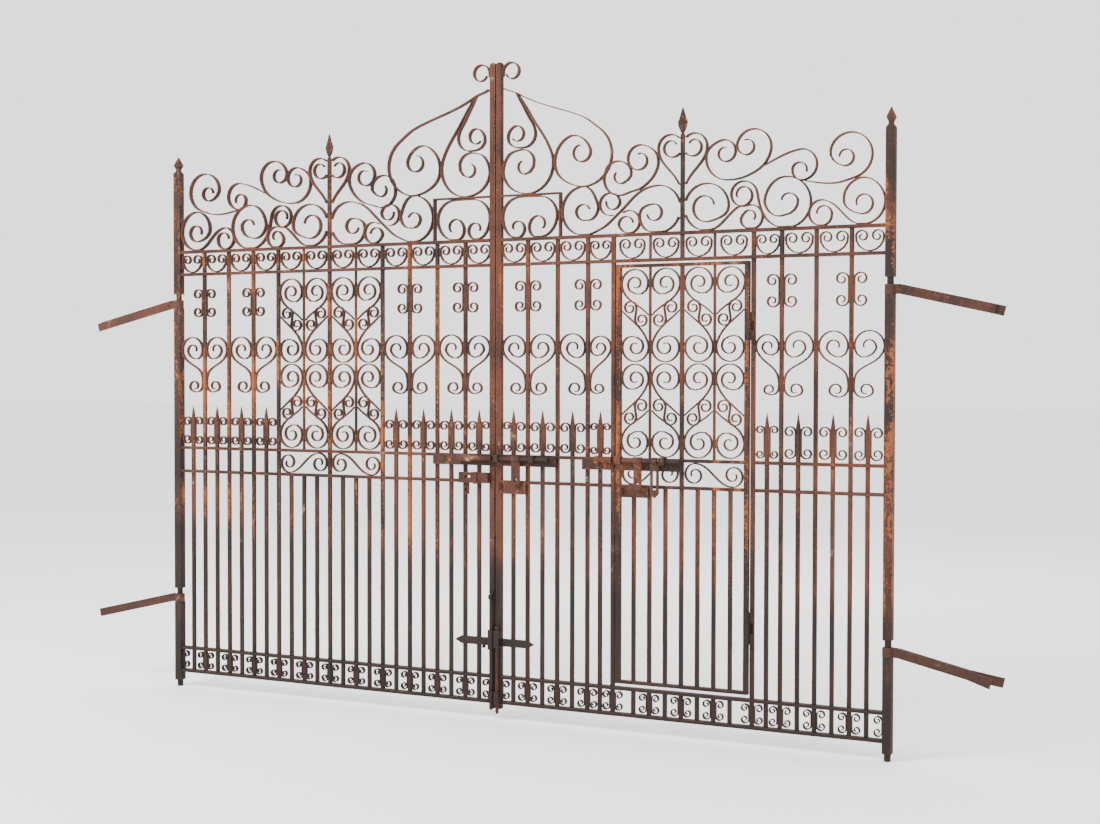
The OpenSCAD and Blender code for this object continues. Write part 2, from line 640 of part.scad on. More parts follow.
// A block on a plate with a round hole along x for a bolt
module guide(x, w, z, r, y, wall = 6) {
    h = r + bolt_play + wall;
    difference() {
        translate([x, bolt_y - h, z - h]) cube([w, y - bolt_y + h, 2 * h]);
        translate([x - 1, bolt_y, z]) rotate([0, 90, 0]) cylinder(r = r + bolt_play, h = w + 2);
    }
}

// An eye plate standing out of a plate, with a hole for a lock's shackle
eye_t = 5;
eye_half = 15;
eye_reach = 12;                              // past the bolts' axes
eye_hole_r = 6;
module eye(x, z, y) {
    difference() {
        translate([x, bolt_y - eye_reach, z - eye_half])
            cube([eye_t, y - bolt_y + eye_reach, 2 * eye_half]);
        translate([x - 1, bolt_y, z]) rotate([0, 90, 0]) cylinder(r = eye_hole_r, h = eye_t + 2);
    }
}

keep = [-178, -110, -meeting_gap / 2];       // block, tube and end of the centre keep
keep_wall = 6;
tube_wall = 4;
module keep_tube(x0, x1, x2, z, r, y, depth) {
    h = r + keep_wall;
    difference() {
        union() {
            translate([x0, bolt_y - h, z - h]) cube([x1 - x0, y - bolt_y + h, 2 * h]);
            translate([x1, bolt_y, z]) rotate([0, 90, 0]) cylinder(r = r + tube_wall, h = x2 - x1);
        }
        translate([x2 - depth, bolt_y, z]) rotate([0, 90, 0]) cylinder(r = r + bolt_play, h = depth + 1);
    }
}

drop_z = [240, 330];                         // guide of the drop bolts
flat_bolt = [16, 8];                         // width and thickness of the flat drop bolt
stile_front = -meeting_w / 2;
bar_front = -bar_w / 2;
drop_play = 0.5;                             // round the flat drop bolt
drop_half = 12;                              // half the width of a drop bolt's guide
band_h = 36;                                 // the pointed bands over the bars
band_z = 275;

module drop_guide(x0, x1, z0, z1, y) {
    difference() {
        translate([x0, y, z0]) cube([x1 - x0, stile_front - y, z1 - z0]);
        children();
    }
}

module pointed_plate(x0, x1, z, h) {         // a strap over the bars, pointed at x0
    m = sign(x1 - x0);
    translate([0, bar_front, z]) rotate([90, 0, 0]) linear_extrude(height = plate_t)
        polygon([[x1, -h / 2], [x0 + m * h, -h / 2], [x0, 0], [x0 + m * h, h / 2], [x1, h / 2]]);
}

flat_x = -(meeting_gap / 2 + meeting_w / 2); // middle of the left meeting stile
module left_lock_plates() {
    color(rust_dark) centred() {
        plate(-320, keep[2], lock_z - lock_plate_drop, lock_rail_z + rail_hi);
        keep_tube(keep[0], keep[1], keep[2], lock_z, centre_bolt_d / 2, front - plate_t, bolt_throw + 12);
        // lower lock bar with its collar and hanging loop
        difference() {
            translate([-175, front - 24, band_rail_z - rail_hi]) cube([150, 24, 48]);
            translate([-145, front - 25, band_rail_z + 15]) cube([30, 26, 12]);
        }
        translate([-96, front - 32, band_rail_z - rail_hi - 4]) cube([16, 8, 56]);
        difference() {
            plate(-160, -130, band_rail_z - 60, band_rail_z - rail_hi, front, 8);
            translate([-145, front - 9, band_rail_z - 38]) rotate([-90, 0, 0]) cylinder(r = 9, h = 10);
        }
        pointed_plate(-208, -meeting_gap / 2 - meeting_w, band_z, band_h);
        plate(-62, -50, 245, 257, bar_front, 14);      // a stud under the band
        slot = [flat_bolt[0] + 2 * drop_play, flat_bolt[1] + 2 * drop_play];
        for (z = [drop_z, [10, 50]])
            drop_guide(flat_x - drop_half, flat_x + drop_half, z[0], z[1],
                stile_front - flat_bolt[1] - 10)
                translate([flat_x - slot[0] / 2, stile_front - slot[1], z[0] - 1])
                    cube([slot[0], slot[1] + 1, z[1] - z[0] + 2]);
    }
}

round_r = 8;
round_y = stile_front - round_r - 2;
round_z = [-50, 334];                        // tip and head of the round drop bolt
module right_lock_plates() {
    lower = band_rail_z + rail_hi;
    color(rust_dark) centred() {
        plate(meeting_gap / 2, 310, lock_z - lock_plate_drop, lock_rail_z + rail_hi);
        for (g = centre_guides) guide(g[0], g[1], lock_z, centre_bolt_d / 2, front - plate_t);
        plate(30, 158, lower - 60, lower);
        eye(hasp_x[0] - bolt_throw - eye_gap - eye_t, lower - 26, front - plate_t);
        pointed_plate(200, meeting_gap / 2 + meeting_w, band_z, band_h);
        for (z = [[drop_z[0] + 10, drop_z[1]], [-10, 50]])
            drop_guide(-flat_x - drop_half, -flat_x + drop_half, z[0], z[1], round_y - round_r - 5)
                translate([-flat_x, round_y, z[0] - 1])
                    cylinder(r = round_r + bolt_play, h = z[1] - z[0] + 2);
    }
}

// A round bolt along x, with a small head at its outer end
tip_h = 6;
head_h = 10;
module round_bolt(x, len, z, r) {
    translate([x, bolt_y, z]) rotate([0, 90, 0]) {
        cylinder(r1 = r - 2, r2 = r, h = tip_h);
        translate([0, 0, tip_h]) cylinder(r = r, h = len - tip_h - head_h);
        translate([0, 0, len - head_h]) cylinder(r = r + 3, h = head_h);
    }
}

// A hasp or ring that hangs from a bolt: its collar, and a strap with an end of radius r
hasp_t = 6;
hasp_wall = 4.5;
hasp_end = 18;                               // length of its narrowing end
module hanging(x, w, z, bolt_r, drop, strap_w, hole, pointed = false) {
    reach = bolt_r + bolt_play + hasp_wall;
    mid = x + w / 2;
    tip = pointed ? 3 : strap_w / 3;
    difference() {
        union() {
            translate([x, bolt_y, z]) rotate([0, 90, 0]) cylinder(r = reach, h = w);
            translate([0, bolt_y + hasp_t / 2, z]) rotate([90, 0, 0]) linear_extrude(height = hasp_t)
                polygon([[mid - strap_w / 2, -bolt_r], [mid + strap_w / 2, -bolt_r],
                    [mid + strap_w / 2, hasp_end - drop], [mid + tip, -drop],
                    [mid - tip, -drop], [mid - strap_w / 2, hasp_end - drop]]);
        }
        translate([x - 1, bolt_y, z]) rotate([0, 90, 0]) cylinder(r = bolt_r + bolt_play, h = w + 2);
        for (h = hole)
            translate([mid - h[2] / 2, bolt_y - hasp_t, z - h[1]])
                cube([h[2], 2 * hasp_t, h[1] - h[0]]);
    }
}

wicket_left = leaf_c - wicket_half;          // wicket's edge from the centre line
wicket_tip = wicket_left + 1;
wicket_bolt_len = 310;
wicket_hasp_x = [wicket_left + 96, 38];
wicket_guides = [[wicket_left + 12, 26], [wicket_left + 220, 24]];

knuckle_r = 10;
pin_r = 5;
pin_play = 0.3;
hinge_u = leaf_c + wicket_half + wicket_gap / 2;
hinge_y = front - 8;
barrels = [[355, 490], [1637, 1757]];        // heights of the wicket's two hinges
knuckle_gap = 0.6;
hinge_leaf = 20;                             // how far a hinge's leaf reaches past its axis

module knuckle(z0, z1, arm) {                // arm: how far the leaf reaches past the axis
    translate([hinge_u, hinge_y, z0]) cylinder(r = knuckle_r, h = z1 - z0);
    translate([min(hinge_u, hinge_u + arm), hinge_y, z0])
        cube([abs(arm), (arm < 0 ? wicket_front : -jamb_w / 2) - hinge_y, z1 - z0]);
}

module wicket_jamb_fittings() {
    color(rust_dark) centred() {
        plate(437, wicket_left - wicket_gap, lock_z - wicket_plate_drop, lock_rail_z + rail_hi);
        keep_tube(wicket_left - 86, wicket_left - 66, wicket_left - wicket_gap, wicket_bolt_z,
            wicket_bolt_d / 2, front - plate_t, bolt_throw + 4);
        for (b = barrels) {
            third = (b[1] - b[0]) / 3;
            knuckle(b[0], b[0] + third, hinge_leaf);
            knuckle(b[1] - third, b[1], hinge_leaf);
            translate([hinge_u, hinge_y, b[0] + third - 1])
                cylinder(r = pin_r, h = third + 2);
        }
    }
}

module wicket_fittings() {
    lower = band_rail_z + rail_hi;
    color(rust_dark) centred() {
        plate(wicket_left, wicket_left + 316, lock_z - wicket_plate_drop, lock_rail_z + rail_hi,
            wicket_front);
        for (g = wicket_guides)
            guide(g[0], g[1], wicket_bolt_z, wicket_bolt_d / 2, wicket_front - plate_t);
        plate(wicket_left + 20, wicket_left + 156, lower - 55, lower, wicket_front);
        eye(wicket_hasp_x[0] - bolt_throw - eye_gap - eye_t, lower - 26, wicket_front - plate_t);
        for (b = barrels) {
            third = (b[1] - b[0]) / 3;
            difference() {
                knuckle(b[0] + third + knuckle_gap, b[1] - third - knuckle_gap, -hinge_leaf);
                translate([hinge_u, hinge_y, b[0]]) cylinder(r = pin_r + pin_play, h = b[1] - b[0]);
            }
        }
    }
}

flat_low = -35;
flat_len = 540;
flat_grip = [12, 20];                        // how far the grip stands out, and its height
module flat_drop_bolt() {
    y = stile_front - flat_bolt[1] - drop_play;
    color(rust_light) centred() translate([flat_x - flat_bolt[0] / 2, y, 0]) {
        translate([0, 0, flat_low]) cube([flat_bolt[0], flat_bolt[1], flat_len]);
        translate([0, -flat_grip[0], 470]) cube([flat_bolt[0], flat_grip[0], flat_grip[1]]);
    }
}

module round_drop_bolt() {
    color(rust_dark) centred() translate([-flat_x, round_y, 0]) {
        translate([0, 0, round_z[0]]) cylinder(r1 = round_r - 3, r2 = round_r, h = 8);
        translate([0, 0, round_z[0] + 8]) cylinder(r = round_r, h = round_z[1] - round_z[0] - 8);
        translate([0, 0, round_z[1]]) cylinder(r = round_r + 2, h = 12);
    }
}

module centre_bolt() {
    color(rust_light) centred() round_bolt(bolt_tip, bolt_len, lock_z, centre_bolt_d / 2);
}

module centre_hasp() {
    color(rust) centred()
        hanging(hasp_x[0], hasp_x[1], lock_z, centre_bolt_d / 2, 118, 44, [[88, 104, 12]]);
}

module wicket_bolt() {
    color(rust) centred() round_bolt(wicket_tip, wicket_bolt_len, wicket_bolt_z, wicket_bolt_d / 2);
}

module wicket_hasp() {
    color(rust) centred()
        hanging(wicket_hasp_x[0], wicket_hasp_x[1], wicket_bolt_z, wicket_bolt_d / 2, 128, 38,
            [[98, 112, 10]]);
}

module wicket_drop_ring() {
    color(rust_dark) centred()
        hanging(wicket_left + 182, 24, wicket_bolt_z, wicket_bolt_d / 2, 160, 40,
            [[40, 125, 16]], true);
}

place() left_straps();  // straps_left
place() right_straps();  // straps_right
place() on_leaf("left") hinge_stile();  // left_hinge_stile
place() on_leaf("left") meeting_stile();  // left_meeting_stile
place() on_leaf("left") left_rails();
place() on_leaf("left") left_long_bars();
place() on_leaf("left") left_spear_bars();
place() on_leaf("left") left_frieze_rings();
place() left_outer_scrolls();
place() left_inner_scrolls();
place() left_panel_scrolls();
place() left_foot_scrolls();
place() on_leaf("left") cresting();  // left_cresting
place() on_leaf("left") crest_post();  // left_crest_post
place() left_lock_plates();
place() on_leaf("right") hinge_stile();  // right_hinge_stile
place() on_leaf("right") meeting_stile();  // right_meeting_stile
place() on_leaf("right") right_head_rails();
place() on_leaf("right") right_foot_rails();
place() on_leaf("right") side_grille(1, hinge_face);  // right_outer_grille
place() on_leaf("right") side_grille(-1, meet_face);  // right_inner_grille
place() on_leaf("right") right_door_bars();
place() on_leaf("right") right_frieze_rings();
place() right_outer_scrolls();
place() right_inner_scrolls();
place() right_foot_scrolls();
place() on_leaf("right") cresting();  // right_cresting
place() on_leaf("right") crest_post();  // right_crest_post
place() right_lock_plates();
place() wicket_jamb_fittings();
place() on_leaf("right") wicket_frame();
place() on_leaf("right") wicket_bars();
place() wicket_panel_scrolls();
place() wicket_fittings();
place() centre_bolt();
place() centre_hasp();
place() wicket_bolt();
place() wicket_hasp();
place() wicket_drop_ring();
place() flat_drop_bolt();
place() round_drop_bolt();
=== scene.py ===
import math
import bmesh
import bpy
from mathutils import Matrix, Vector


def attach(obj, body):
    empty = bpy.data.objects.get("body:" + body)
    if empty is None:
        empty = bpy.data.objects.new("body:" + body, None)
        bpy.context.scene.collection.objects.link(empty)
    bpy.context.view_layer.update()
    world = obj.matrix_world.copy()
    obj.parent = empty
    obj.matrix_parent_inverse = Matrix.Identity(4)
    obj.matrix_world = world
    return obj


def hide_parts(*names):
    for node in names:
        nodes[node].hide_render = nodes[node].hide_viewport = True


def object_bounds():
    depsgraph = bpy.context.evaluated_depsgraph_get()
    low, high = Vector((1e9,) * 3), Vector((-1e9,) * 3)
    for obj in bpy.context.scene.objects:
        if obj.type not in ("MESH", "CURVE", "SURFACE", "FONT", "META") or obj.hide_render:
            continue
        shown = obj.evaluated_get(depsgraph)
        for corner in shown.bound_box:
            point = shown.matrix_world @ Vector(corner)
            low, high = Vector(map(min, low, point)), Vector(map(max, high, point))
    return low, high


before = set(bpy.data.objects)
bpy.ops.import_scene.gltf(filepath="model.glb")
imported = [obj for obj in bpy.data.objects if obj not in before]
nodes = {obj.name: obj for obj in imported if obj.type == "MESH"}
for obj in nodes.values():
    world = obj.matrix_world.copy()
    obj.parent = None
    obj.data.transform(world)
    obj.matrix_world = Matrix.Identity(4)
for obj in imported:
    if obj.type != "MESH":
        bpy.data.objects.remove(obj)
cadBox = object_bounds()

bodyOf = {"straps_left": "wall_straps", "straps_right": "wall_straps", "centre_bolt": "centre_bolt_body",
          "centre_hasp": "centre_hasp_body", "wicket_bolt": "wicket_bolt_body",
          "wicket_hasp": "wicket_hasp_body", "wicket_drop_ring": "drop_ring_body",
          "flat_drop_bolt": "flat_drop_bolt_body", "round_drop_bolt": "round_drop_bolt_body",
          "wicket_frame": "wicket_door", "wicket_bars": "wicket_door",
          "wicket_panel_scrolls": "wicket_door", "wicket_fittings": "wicket_door"}


def bodyFor(node):
    return bodyOf.get(node, "left_leaf" if node.startswith("left") else "right_leaf")


# Everything below is drawn in millimetres from the left hinge line and the bottom rail
gate = {"originX": 130, "originY": -9, "originZ": -342.760126, "width": 3600, "leafMiddle": 900,
        "meetingGap": 6, "hingeStile": 38, "meetingStile": 27, "bar": 17, "thinBar": 11, "jamb": 18,
        "pitch": 148, "railThickness": 14, "railDepth": 32, "topRail": 2100, "friezeRail": 1988,
        "lockRail": 1122, "bandRail": 1005, "footRail": 115, "spear": 213, "seat": 0.3}


def place(x, y, z):
    return Vector((x + gate["originX"], y + gate["originY"], z + gate["originZ"])) / 1000


def onLeaf(side, s):    # from a leaf's middle, towards its hinge stile
    return gate["width"] - gate["leafMiddle"] + s if side == "right" else gate["leafMiddle"] - s


# ---- node helpers ----
def addNode(tree, kind, settings=None, **sockets):
    node = tree.nodes.new(kind)
    for name, value in (settings or {}).items():
        if name == "stops":
            ramp = node.color_ramp
            while len(ramp.elements) > 2:
                ramp.elements.remove(ramp.elements[-1])
            for i, (at, colour) in enumerate(value):
                stop = ramp.elements[i] if i < 2 else ramp.elements.new(at)
                stop.position, stop.color = at, (*colour, 1)
        else:
            setattr(node, name, value)
    for key, value in sockets.items():
        index = int(key[2:]) if key.startswith("in") and key[2:].isdigit() else key.replace("_", " ")
        socket = node.inputs[index]
        source = getattr(value, "socket", value)
        if isinstance(source, bpy.types.NodeSocket):
            tree.links.new(source, socket)
        else:
            socket.default_value = value
    return node


class Amount:    # a number in a shader, so that sums are written as sums
    def __init__(self, tree, socket):
        self.tree, self.socket = tree, socket

    def math(self, operation, a, b=0.0, clamp=False):
        node = addNode(self.tree, "ShaderNodeMath", {"operation": operation, "use_clamp": clamp},
                       in0=a, in1=b)
        return Amount(self.tree, node.outputs[0])

    def __add__(self, other):
        return self.math("ADD", self, other)

    def __sub__(self, other):
        return self.math("SUBTRACT", self, other)

    def __rsub__(self, other):
        return self.math("SUBTRACT", other, self)

    def __mul__(self, other):
        return self.math("MULTIPLY", self, other)

    __radd__ = __add__
    __rmul__ = __mul__

    def clamped(self):
        return self.math("ADD", self, 0.0, True)


class Finish:    # a material under construction
    def __init__(self, name):
        self.material = bpy.data.materials.new(name)
        self.material.use_nodes = True
        self.tree = self.material.node_tree
        self.tree.nodes.clear()
        self.point = self.node("ShaderNodeTexCoord").outputs["Object"]

    def node(self, kind, settings=None, **sockets):
        return addNode(self.tree, kind, settings, **sockets)

    def amount(self, socket):
        return Amount(self.tree, socket)

    def noise(self, scale, detail=4.0, roughness=0.55, stretch=None):
        point = self.point
        if stretch:
            point = self.node("ShaderNodeMapping", None, Vector=point, Scale=stretch).outputs[0]
        return self.amount(self.node("ShaderNodeTexNoise", None, Vector=point, Scale=scale, Detail=detail,
                                     Roughness=roughness).outputs["Fac"])

    def band(self, value, low, high):    # 0 below low, 1 over high
        return self.amount(self.node("ShaderNodeMapRange", {"interpolation_type": "SMOOTHSTEP"}, Value=value,
                                     From_Min=low, From_Max=high).outputs[0])

    def mix(self, mask, a, b, blend="MIX"):
        return self.node("ShaderNodeMix", {"data_type": "RGBA", "blend_type": blend}, in0=mask,
                         in6=a, in7=b).outputs[2]

    def done(self, colour, roughness, metallic, height, strength, depth, specular):
        bump = self.node("ShaderNodeBump", None, Strength=strength, Distance=depth, Height=height)
        shader = self.node("ShaderNodeBsdfPrincipled", None, Base_Color=colour, Roughness=roughness,
                           Metallic=metallic, Normal=bump.outputs[0], Specular_IOR_Level=specular)
        self.node("ShaderNodeOutputMaterial", None, Surface=shader.outputs[0])
        return self.material


def rgb(r, g, b):    # a screen colour as the linear values that shaders use
    return (*[(c / 255 / 12.92 if c < 11 else ((c / 255 + 0.055) / 1.055) ** 2.4) for c in (r, g, b)], 1)


# ---- rust ----
# the sixth colour and the four numbers after it paint a cast shadow over the lowest part: its colour, the
# height of its edge at the left and at the right end, how far it fades in, and how much its edge wobbles
rust = {"dark": (36, 24, 20), "brown": (62, 38, 29), "red": (78, 44, 32), "orange": (124, 68, 34),
        "dust": (176, 146, 120), "damp": (25, 16, 13), "dampLeft": 0.84, "dampRight": 0.60,
        "dampDepth": 0.16, "dampEdge": 0.05, "roughness": 0.95, "pitDepth": 0.0011, "specular": 0.3}


# the argument after dark scales the painted cast shadow over the lowest part
def rustFinish(name, orange, red, dark, damp=1.0, pits=0.5, shine=0.12):
    f = Finish(name)
    broad = f.noise(2.3, 5, 0.6)
    patches = f.noise(11, 8, 0.68)
    grain = f.noise(85, 6, 0.7)
    fine = f.noise(420, 4, 0.6)
    streaks = f.noise(9, 5, 0.6, (2.2, 2.2, 0.35))
    body = f.mix(f.band(patches + 0.25 * grain, 0.50 - red * 0.2, 0.78 - red * 0.2), rgb(*rust["brown"]),
                 rgb(*rust["red"]))
    body = f.mix(f.band(broad + 0.5 * grain, 0.92 - dark, 0.62 - dark), body, rgb(*rust["dark"]))
    glow = f.band(streaks * 0.7 + grain * 0.5 + broad * 0.35, 0.93 - orange, 1.0 - orange)
    body = f.mix(glow * 0.9, body, rgb(*rust["orange"]))
    flakes = f.band(fine * 0.5 + patches * 0.8, 0.79, 0.84)
    body = f.mix(flakes * 0.7, body, rgb(*rust["dust"]))
    # painted shadow: the lowest part is darkened, as by a cast shadow, up to a line that falls from left to
    # right, and is made a little less rough
    parts = f.node("ShaderNodeSeparateXYZ", None, Vector=f.point)
    x, z = f.amount(parts.outputs["X"]), f.amount(parts.outputs["Z"])
    slope = (rust["dampRight"] - rust["dampLeft"]) / (gate["width"] / 1000)
    edge = (x - gate["originX"] / 1000) * slope + (rust["dampLeft"] + gate["originZ"] / 1000)
    edge = edge + (broad - 0.5) * (4 * rust["dampEdge"]) + (grain - 0.5) * rust["dampEdge"]
    paintedShadowMask = f.band(edge - z, 0.0, rust["dampDepth"]) * damp
    body = f.mix(paintedShadowMask * 0.9, body, rgb(*rust["damp"]))
    rough = rust["roughness"] - 0.2 * grain - paintedShadowMask * 0.08 + flakes * 0.05
    metal = shine * (1 - glow) * f.band(grain, 0.4, 0.65)
    height = grain * 0.7 + fine * 0.35 + f.band(patches, 0.45, 0.6) * 0.5
    return f.done(body, rough.clamped(), metal.clamped(), height, pits, rust["pitDepth"], rust["specular"])


finishes = {
    "brown_rust": rustFinish("brown rust", 0.05, 0.45, 0.04),
    "orange_rust": rustFinish("orange rust", 0.13, 0.65, -0.05),
    "crest_rust": rustFinish("crest rust", 0.0, 0.25, 0.14),
    "dark_iron": rustFinish("dark iron", 0.02, 0.2, 0.12),
    "fittings": rustFinish("fittings rust", 0.07, 0.7, 0.0, pits=0.7),
    # strap iron and the rubbed edge get a weaker painted cast shadow over the lowest part
    "straps": rustFinish("strap iron", 0.03, 0.25, 0.08, damp=0.45, pits=0.7),
    "worn_edge": rustFinish("rubbed edge", 0.22, 0.9, -0.2, damp=0.8, pits=0.3, shine=0.45),
}
print("finishes made")

# ---- scroll strips ----
# A strip is a list of spirals [x, z, first r, last r, first angle, last angle] and knots
# [x, z, heading], with smooth links between them
strips = {"thickness": 5, "depth": 20, "crestDepth": 28, "corner": 0.9, "turnStep": 12, "wander": 0.5,
          "linkStep": 22, "linkReach": 0.38, "tip": 55, "tipGirth": 0.72}


def isKnot(k):
    return len(k) == 3


def spiralPoints(k):
    n = max(2, math.ceil(abs(k[5] - k[4]) / strips["turnStep"]))
    turns = [(k[4] + (k[5] - k[4]) * i / n, k[2] + (k[3] - k[2]) * i / n) for i in range(n + 1)]
    return [Vector((k[0] + r * math.cos(math.radians(a)), k[1] + r * math.sin(math.radians(a))))
            for a, r in turns]


def heading(k, last):
    if isKnot(k):
        return Vector((math.cos(math.radians(k[2])), math.sin(math.radians(k[2]))))
    a = math.radians(k[5] if last else k[4])
    turn = 1 if k[5] > k[4] else -1
    return Vector((-turn * math.sin(a), turn * math.cos(a)))


def link(p, u, q, v):
    reach = (q - p).length * strips["linkReach"]
    n = max(3, round((q - p).length / strips["linkStep"]))
    b, c = p + reach * u, q - reach * v
    return [(1 - t) ** 3 * p + 3 * (1 - t) ** 2 * t * b + 3 * (1 - t) * t * t * c + t ** 3 * q
            for t in [i / n for i in range(1, n)]]


def stripLine(ks):
    runs = [[Vector(k[:2])] if isKnot(k) else spiralPoints(k) for k in ks]
    line = list(runs[0])
    for i in range(1, len(ks)):
        p, q = line[-1], runs[i][0]
        if (q - p).length >= 2:
            line += link(p, heading(ks[i - 1], True), q, heading(ks[i], False)) + [q]
        line += runs[i][1:] if (q - line[-1]).length < 1e-6 else runs[i]
    clean = [line[0]]
    for p in line[1:]:
        if (p - clean[-1]).length > 0.4:
            clean.append(p)
    return clean


def shift(ks, x, m=1, w=1):    # moves, mirrors or narrows a strip about x
    def turned(a):
        return a if m > 0 else 180 - a
    return [[x + m * w * k[0], k[1], turned(k[2])] if isKnot(k) else
            [x + m * w * k[0], k[1], k[2] * w, k[3] * w, turned(k[4]), turned(k[5])] for k in ks]


def over(ks, zc):              # mirrors a strip about a height
    return [[k[0], 2 * zc - k[1], -k[2]] if isKnot(k) else
            [k[0], 2 * zc - k[1], k[2], k[3], -k[4], -k[5]] for k in ks]


def cScroll(r, z0, z1, inner=0.3, turns=1.25):
    c = r + strips["thickness"] / 2
    return [[c, z1 - c, r * inner, r, 180 - 360 * turns, 180],
            [c, z0 + c, r, r * inner, 180, 180 + 360 * turns]]


def sweepTree():    # follows edges with a rectangle whose corners are worn off
    tree = bpy.data.node_groups.new("forged strip", "GeometryNodeTree")
    face = tree.interface
    face.new_socket("Geometry", in_out="INPUT", socket_type="NodeSocketGeometry")
    for name in ("Thickness", "Depth", "Corner", "Wander"):
        face.new_socket(name, in_out="INPUT", socket_type="NodeSocketFloat")
    face.new_socket("Finish", in_out="INPUT", socket_type="NodeSocketMaterial")
    face.new_socket("Geometry", in_out="OUTPUT", socket_type="NodeSocketGeometry")
    given = addNode(tree, "NodeGroupInput").outputs
    line = addNode(tree, "GeometryNodeMeshToCurve", None, Mesh=given["Geometry"])
    girth = addNode(tree, "GeometryNodeInputNamedAttribute", {"data_type": "FLOAT"}, Name="girth")
    across = addNode(tree, "GeometryNodeInputNamedAttribute", {"data_type": "FLOAT_VECTOR"}, Name="across")
    line = addNode(tree, "GeometryNodeSetCurveNormal", {"mode": "FREE"}, Curve=line.outputs[0],
                   Normal=across.outputs[0])
    outline = addNode(tree, "GeometryNodeCurvePrimitiveQuadrilateral", None, Width=given["Depth"],
                      Height=given["Thickness"])
    outline = addNode(tree, "GeometryNodeFilletCurve", {"mode": "POLY"}, Curve=outline.outputs[0],
                      Radius=given["Corner"])
    body = addNode(tree, "GeometryNodeCurveToMesh", None, Curve=line.outputs[0],
                   Profile_Curve=outline.outputs[0], Scale=girth.outputs[0], Fill_Caps=True)
    drift = addNode(tree, "ShaderNodeTexNoise", {"noise_dimensions": "3D"}, Scale=14.0, Detail=2.0)
    drift = addNode(tree, "ShaderNodeVectorMath", {"operation": "SUBTRACT"}, in0=drift.outputs["Color"],
                    in1=(0.5, 0.5, 0.5))
    drift = addNode(tree, "ShaderNodeVectorMath", {"operation": "SCALE"}, in0=drift.outputs[0],
                    Scale=given["Wander"])
    body = addNode(tree, "GeometryNodeSetPosition", None, Geometry=body.outputs[0], Offset=drift.outputs[0])
    body = addNode(tree, "GeometryNodeRealizeInstances", None, Geometry=body.outputs[0])
    body = addNode(tree, "GeometryNodeSetMaterial", None, Geometry=body.outputs[0], Material=given["Finish"])
    addNode(tree, "NodeGroupOutput", None, Geometry=body.outputs[0])
    return tree


def evaluated(holder, tree, values):    # runs a tree on an object and keeps only the plain mesh
    modifier = holder.modifiers.new("made", "NODES")
    modifier.node_group = tree
    for item in tree.interface.items_tree:
        if item.in_out == "INPUT" and item.name in values:
            modifier[item.identifier] = values[item.name]
    bpy.context.view_layer.update()
    made = bpy.data.meshes.new_from_object(holder.evaluated_get(bpy.context.evaluated_depsgraph_get()))
    holder.modifiers.remove(modifier)
    old = holder.data
    holder.data = made
    bpy.data.meshes.remove(old)
    made.name = holder.name
    return holder


def linkObject(name, mesh):
    obj = bpy.data.objects.new(name, mesh)
    bpy.context.scene.collection.objects.link(obj)
    return obj


def crease(mesh, degrees=28):
    mesh.polygons.foreach_set("use_smooth", [True] * len(mesh.polygons))
    mesh.set_sharp_from_angle(angle=math.radians(degrees))


sweep = sweepTree()
edgeFacing = (0.35, 0.93)    # how squarely a rubbed face looks to the front


# Each line is a list of (point, across, girth), where across is the way the depth runs
def sweptPiece(name, lines, thickness, depth, finish, corner=strips["corner"], drift=strips["wander"]):
    mesh = bpy.data.meshes.new(name)
    points, edges, across, girth = [], [], [], []
    for line in lines:
        start = len(points)
        for point, way, size in line:
            points.append(point)
            across.extend(way)
            girth.append(size)
        edges += [(i, i + 1) for i in range(start, len(points) - 1)]
    mesh.from_pydata(points, edges, [])
    mesh.attributes.new("girth", "FLOAT", "POINT").data.foreach_set("value", girth)
    mesh.attributes.new("across", "FLOAT_VECTOR", "POINT").data.foreach_set("vector", across)
    piece = evaluated(linkObject(name, mesh), sweep,
                      {"Thickness": thickness / 1000, "Depth": depth / 1000, "Corner": corner / 1000,
                       "Wander": drift / 1000, "Finish": finishes[finish]})
    mesh = piece.data
    mesh.materials.append(finishes["worn_edge"])
    for face in mesh.polygons:    # the narrow faces along the corners are rubbed brighter
        face.material_index = int(edgeFacing[0] < abs(face.normal.y) < edgeFacing[1])
    crease(mesh)
    return piece


def standFor(piece, node):
    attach(piece, bodyFor(node))
    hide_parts(node)

# ---- scrolls ----
forward = (0, 1, 0)


def leafLine(ks, side, tip=strips["tip"]):    # a strip's points on a leaf, drawn thin at both ends
    flat = stripLine(ks)
    reach = [0.0]
    for a, b in zip(flat, flat[1:]):
        reach.append(reach[-1] + (b - a).length)
    total = reach[-1]
    tip = min(tip, total / 4)
    thin = strips["tipGirth"]
    girths = [thin + (1 - thin) * min(1, d / tip, (total - d) / tip) for d in reach]
    return [(place(onLeaf(side, p.x), 0, p.y), forward, girth) for p, girth in zip(flat, girths)]


def scrolls(node, side, lists, finish, thickness=strips["thickness"]):
    lines = [leafLine(ks, side) for ks in lists]
    standFor(sweptPiece(node + "_forged", lines, thickness, strips["depth"], finish), node)


railHalf = gate["railThickness"] / 2
stripHalf = strips["thickness"] / 2
stileMiddle = gate["leafMiddle"] - gate["meetingGap"] / 2 - gate["meetingStile"] / 2
meetFace = stileMiddle - gate["meetingStile"] / 2
hingeFace = gate["leafMiddle"] - gate["hingeStile"] / 2
wicket = {"width": 608, "stile": 20, "depth": 26, "low": 145, "top": 1965, "gap": 8}
jambMiddle = wicket["width"] / 2 + wicket["gap"] + gate["jamb"] / 2
pitch = gate["pitch"]
longBars = [pitch * k for k in (3, 4, 5)]
spearBars = [370, 518, 666, 812]
jambSpear = (jambMiddle + gate["jamb"] / 2 + longBars[0] - gate["bar"] / 2) / 2
panelDogs = [pitch * k for k in (-1.5, -0.5, 0.5, 1.5)]

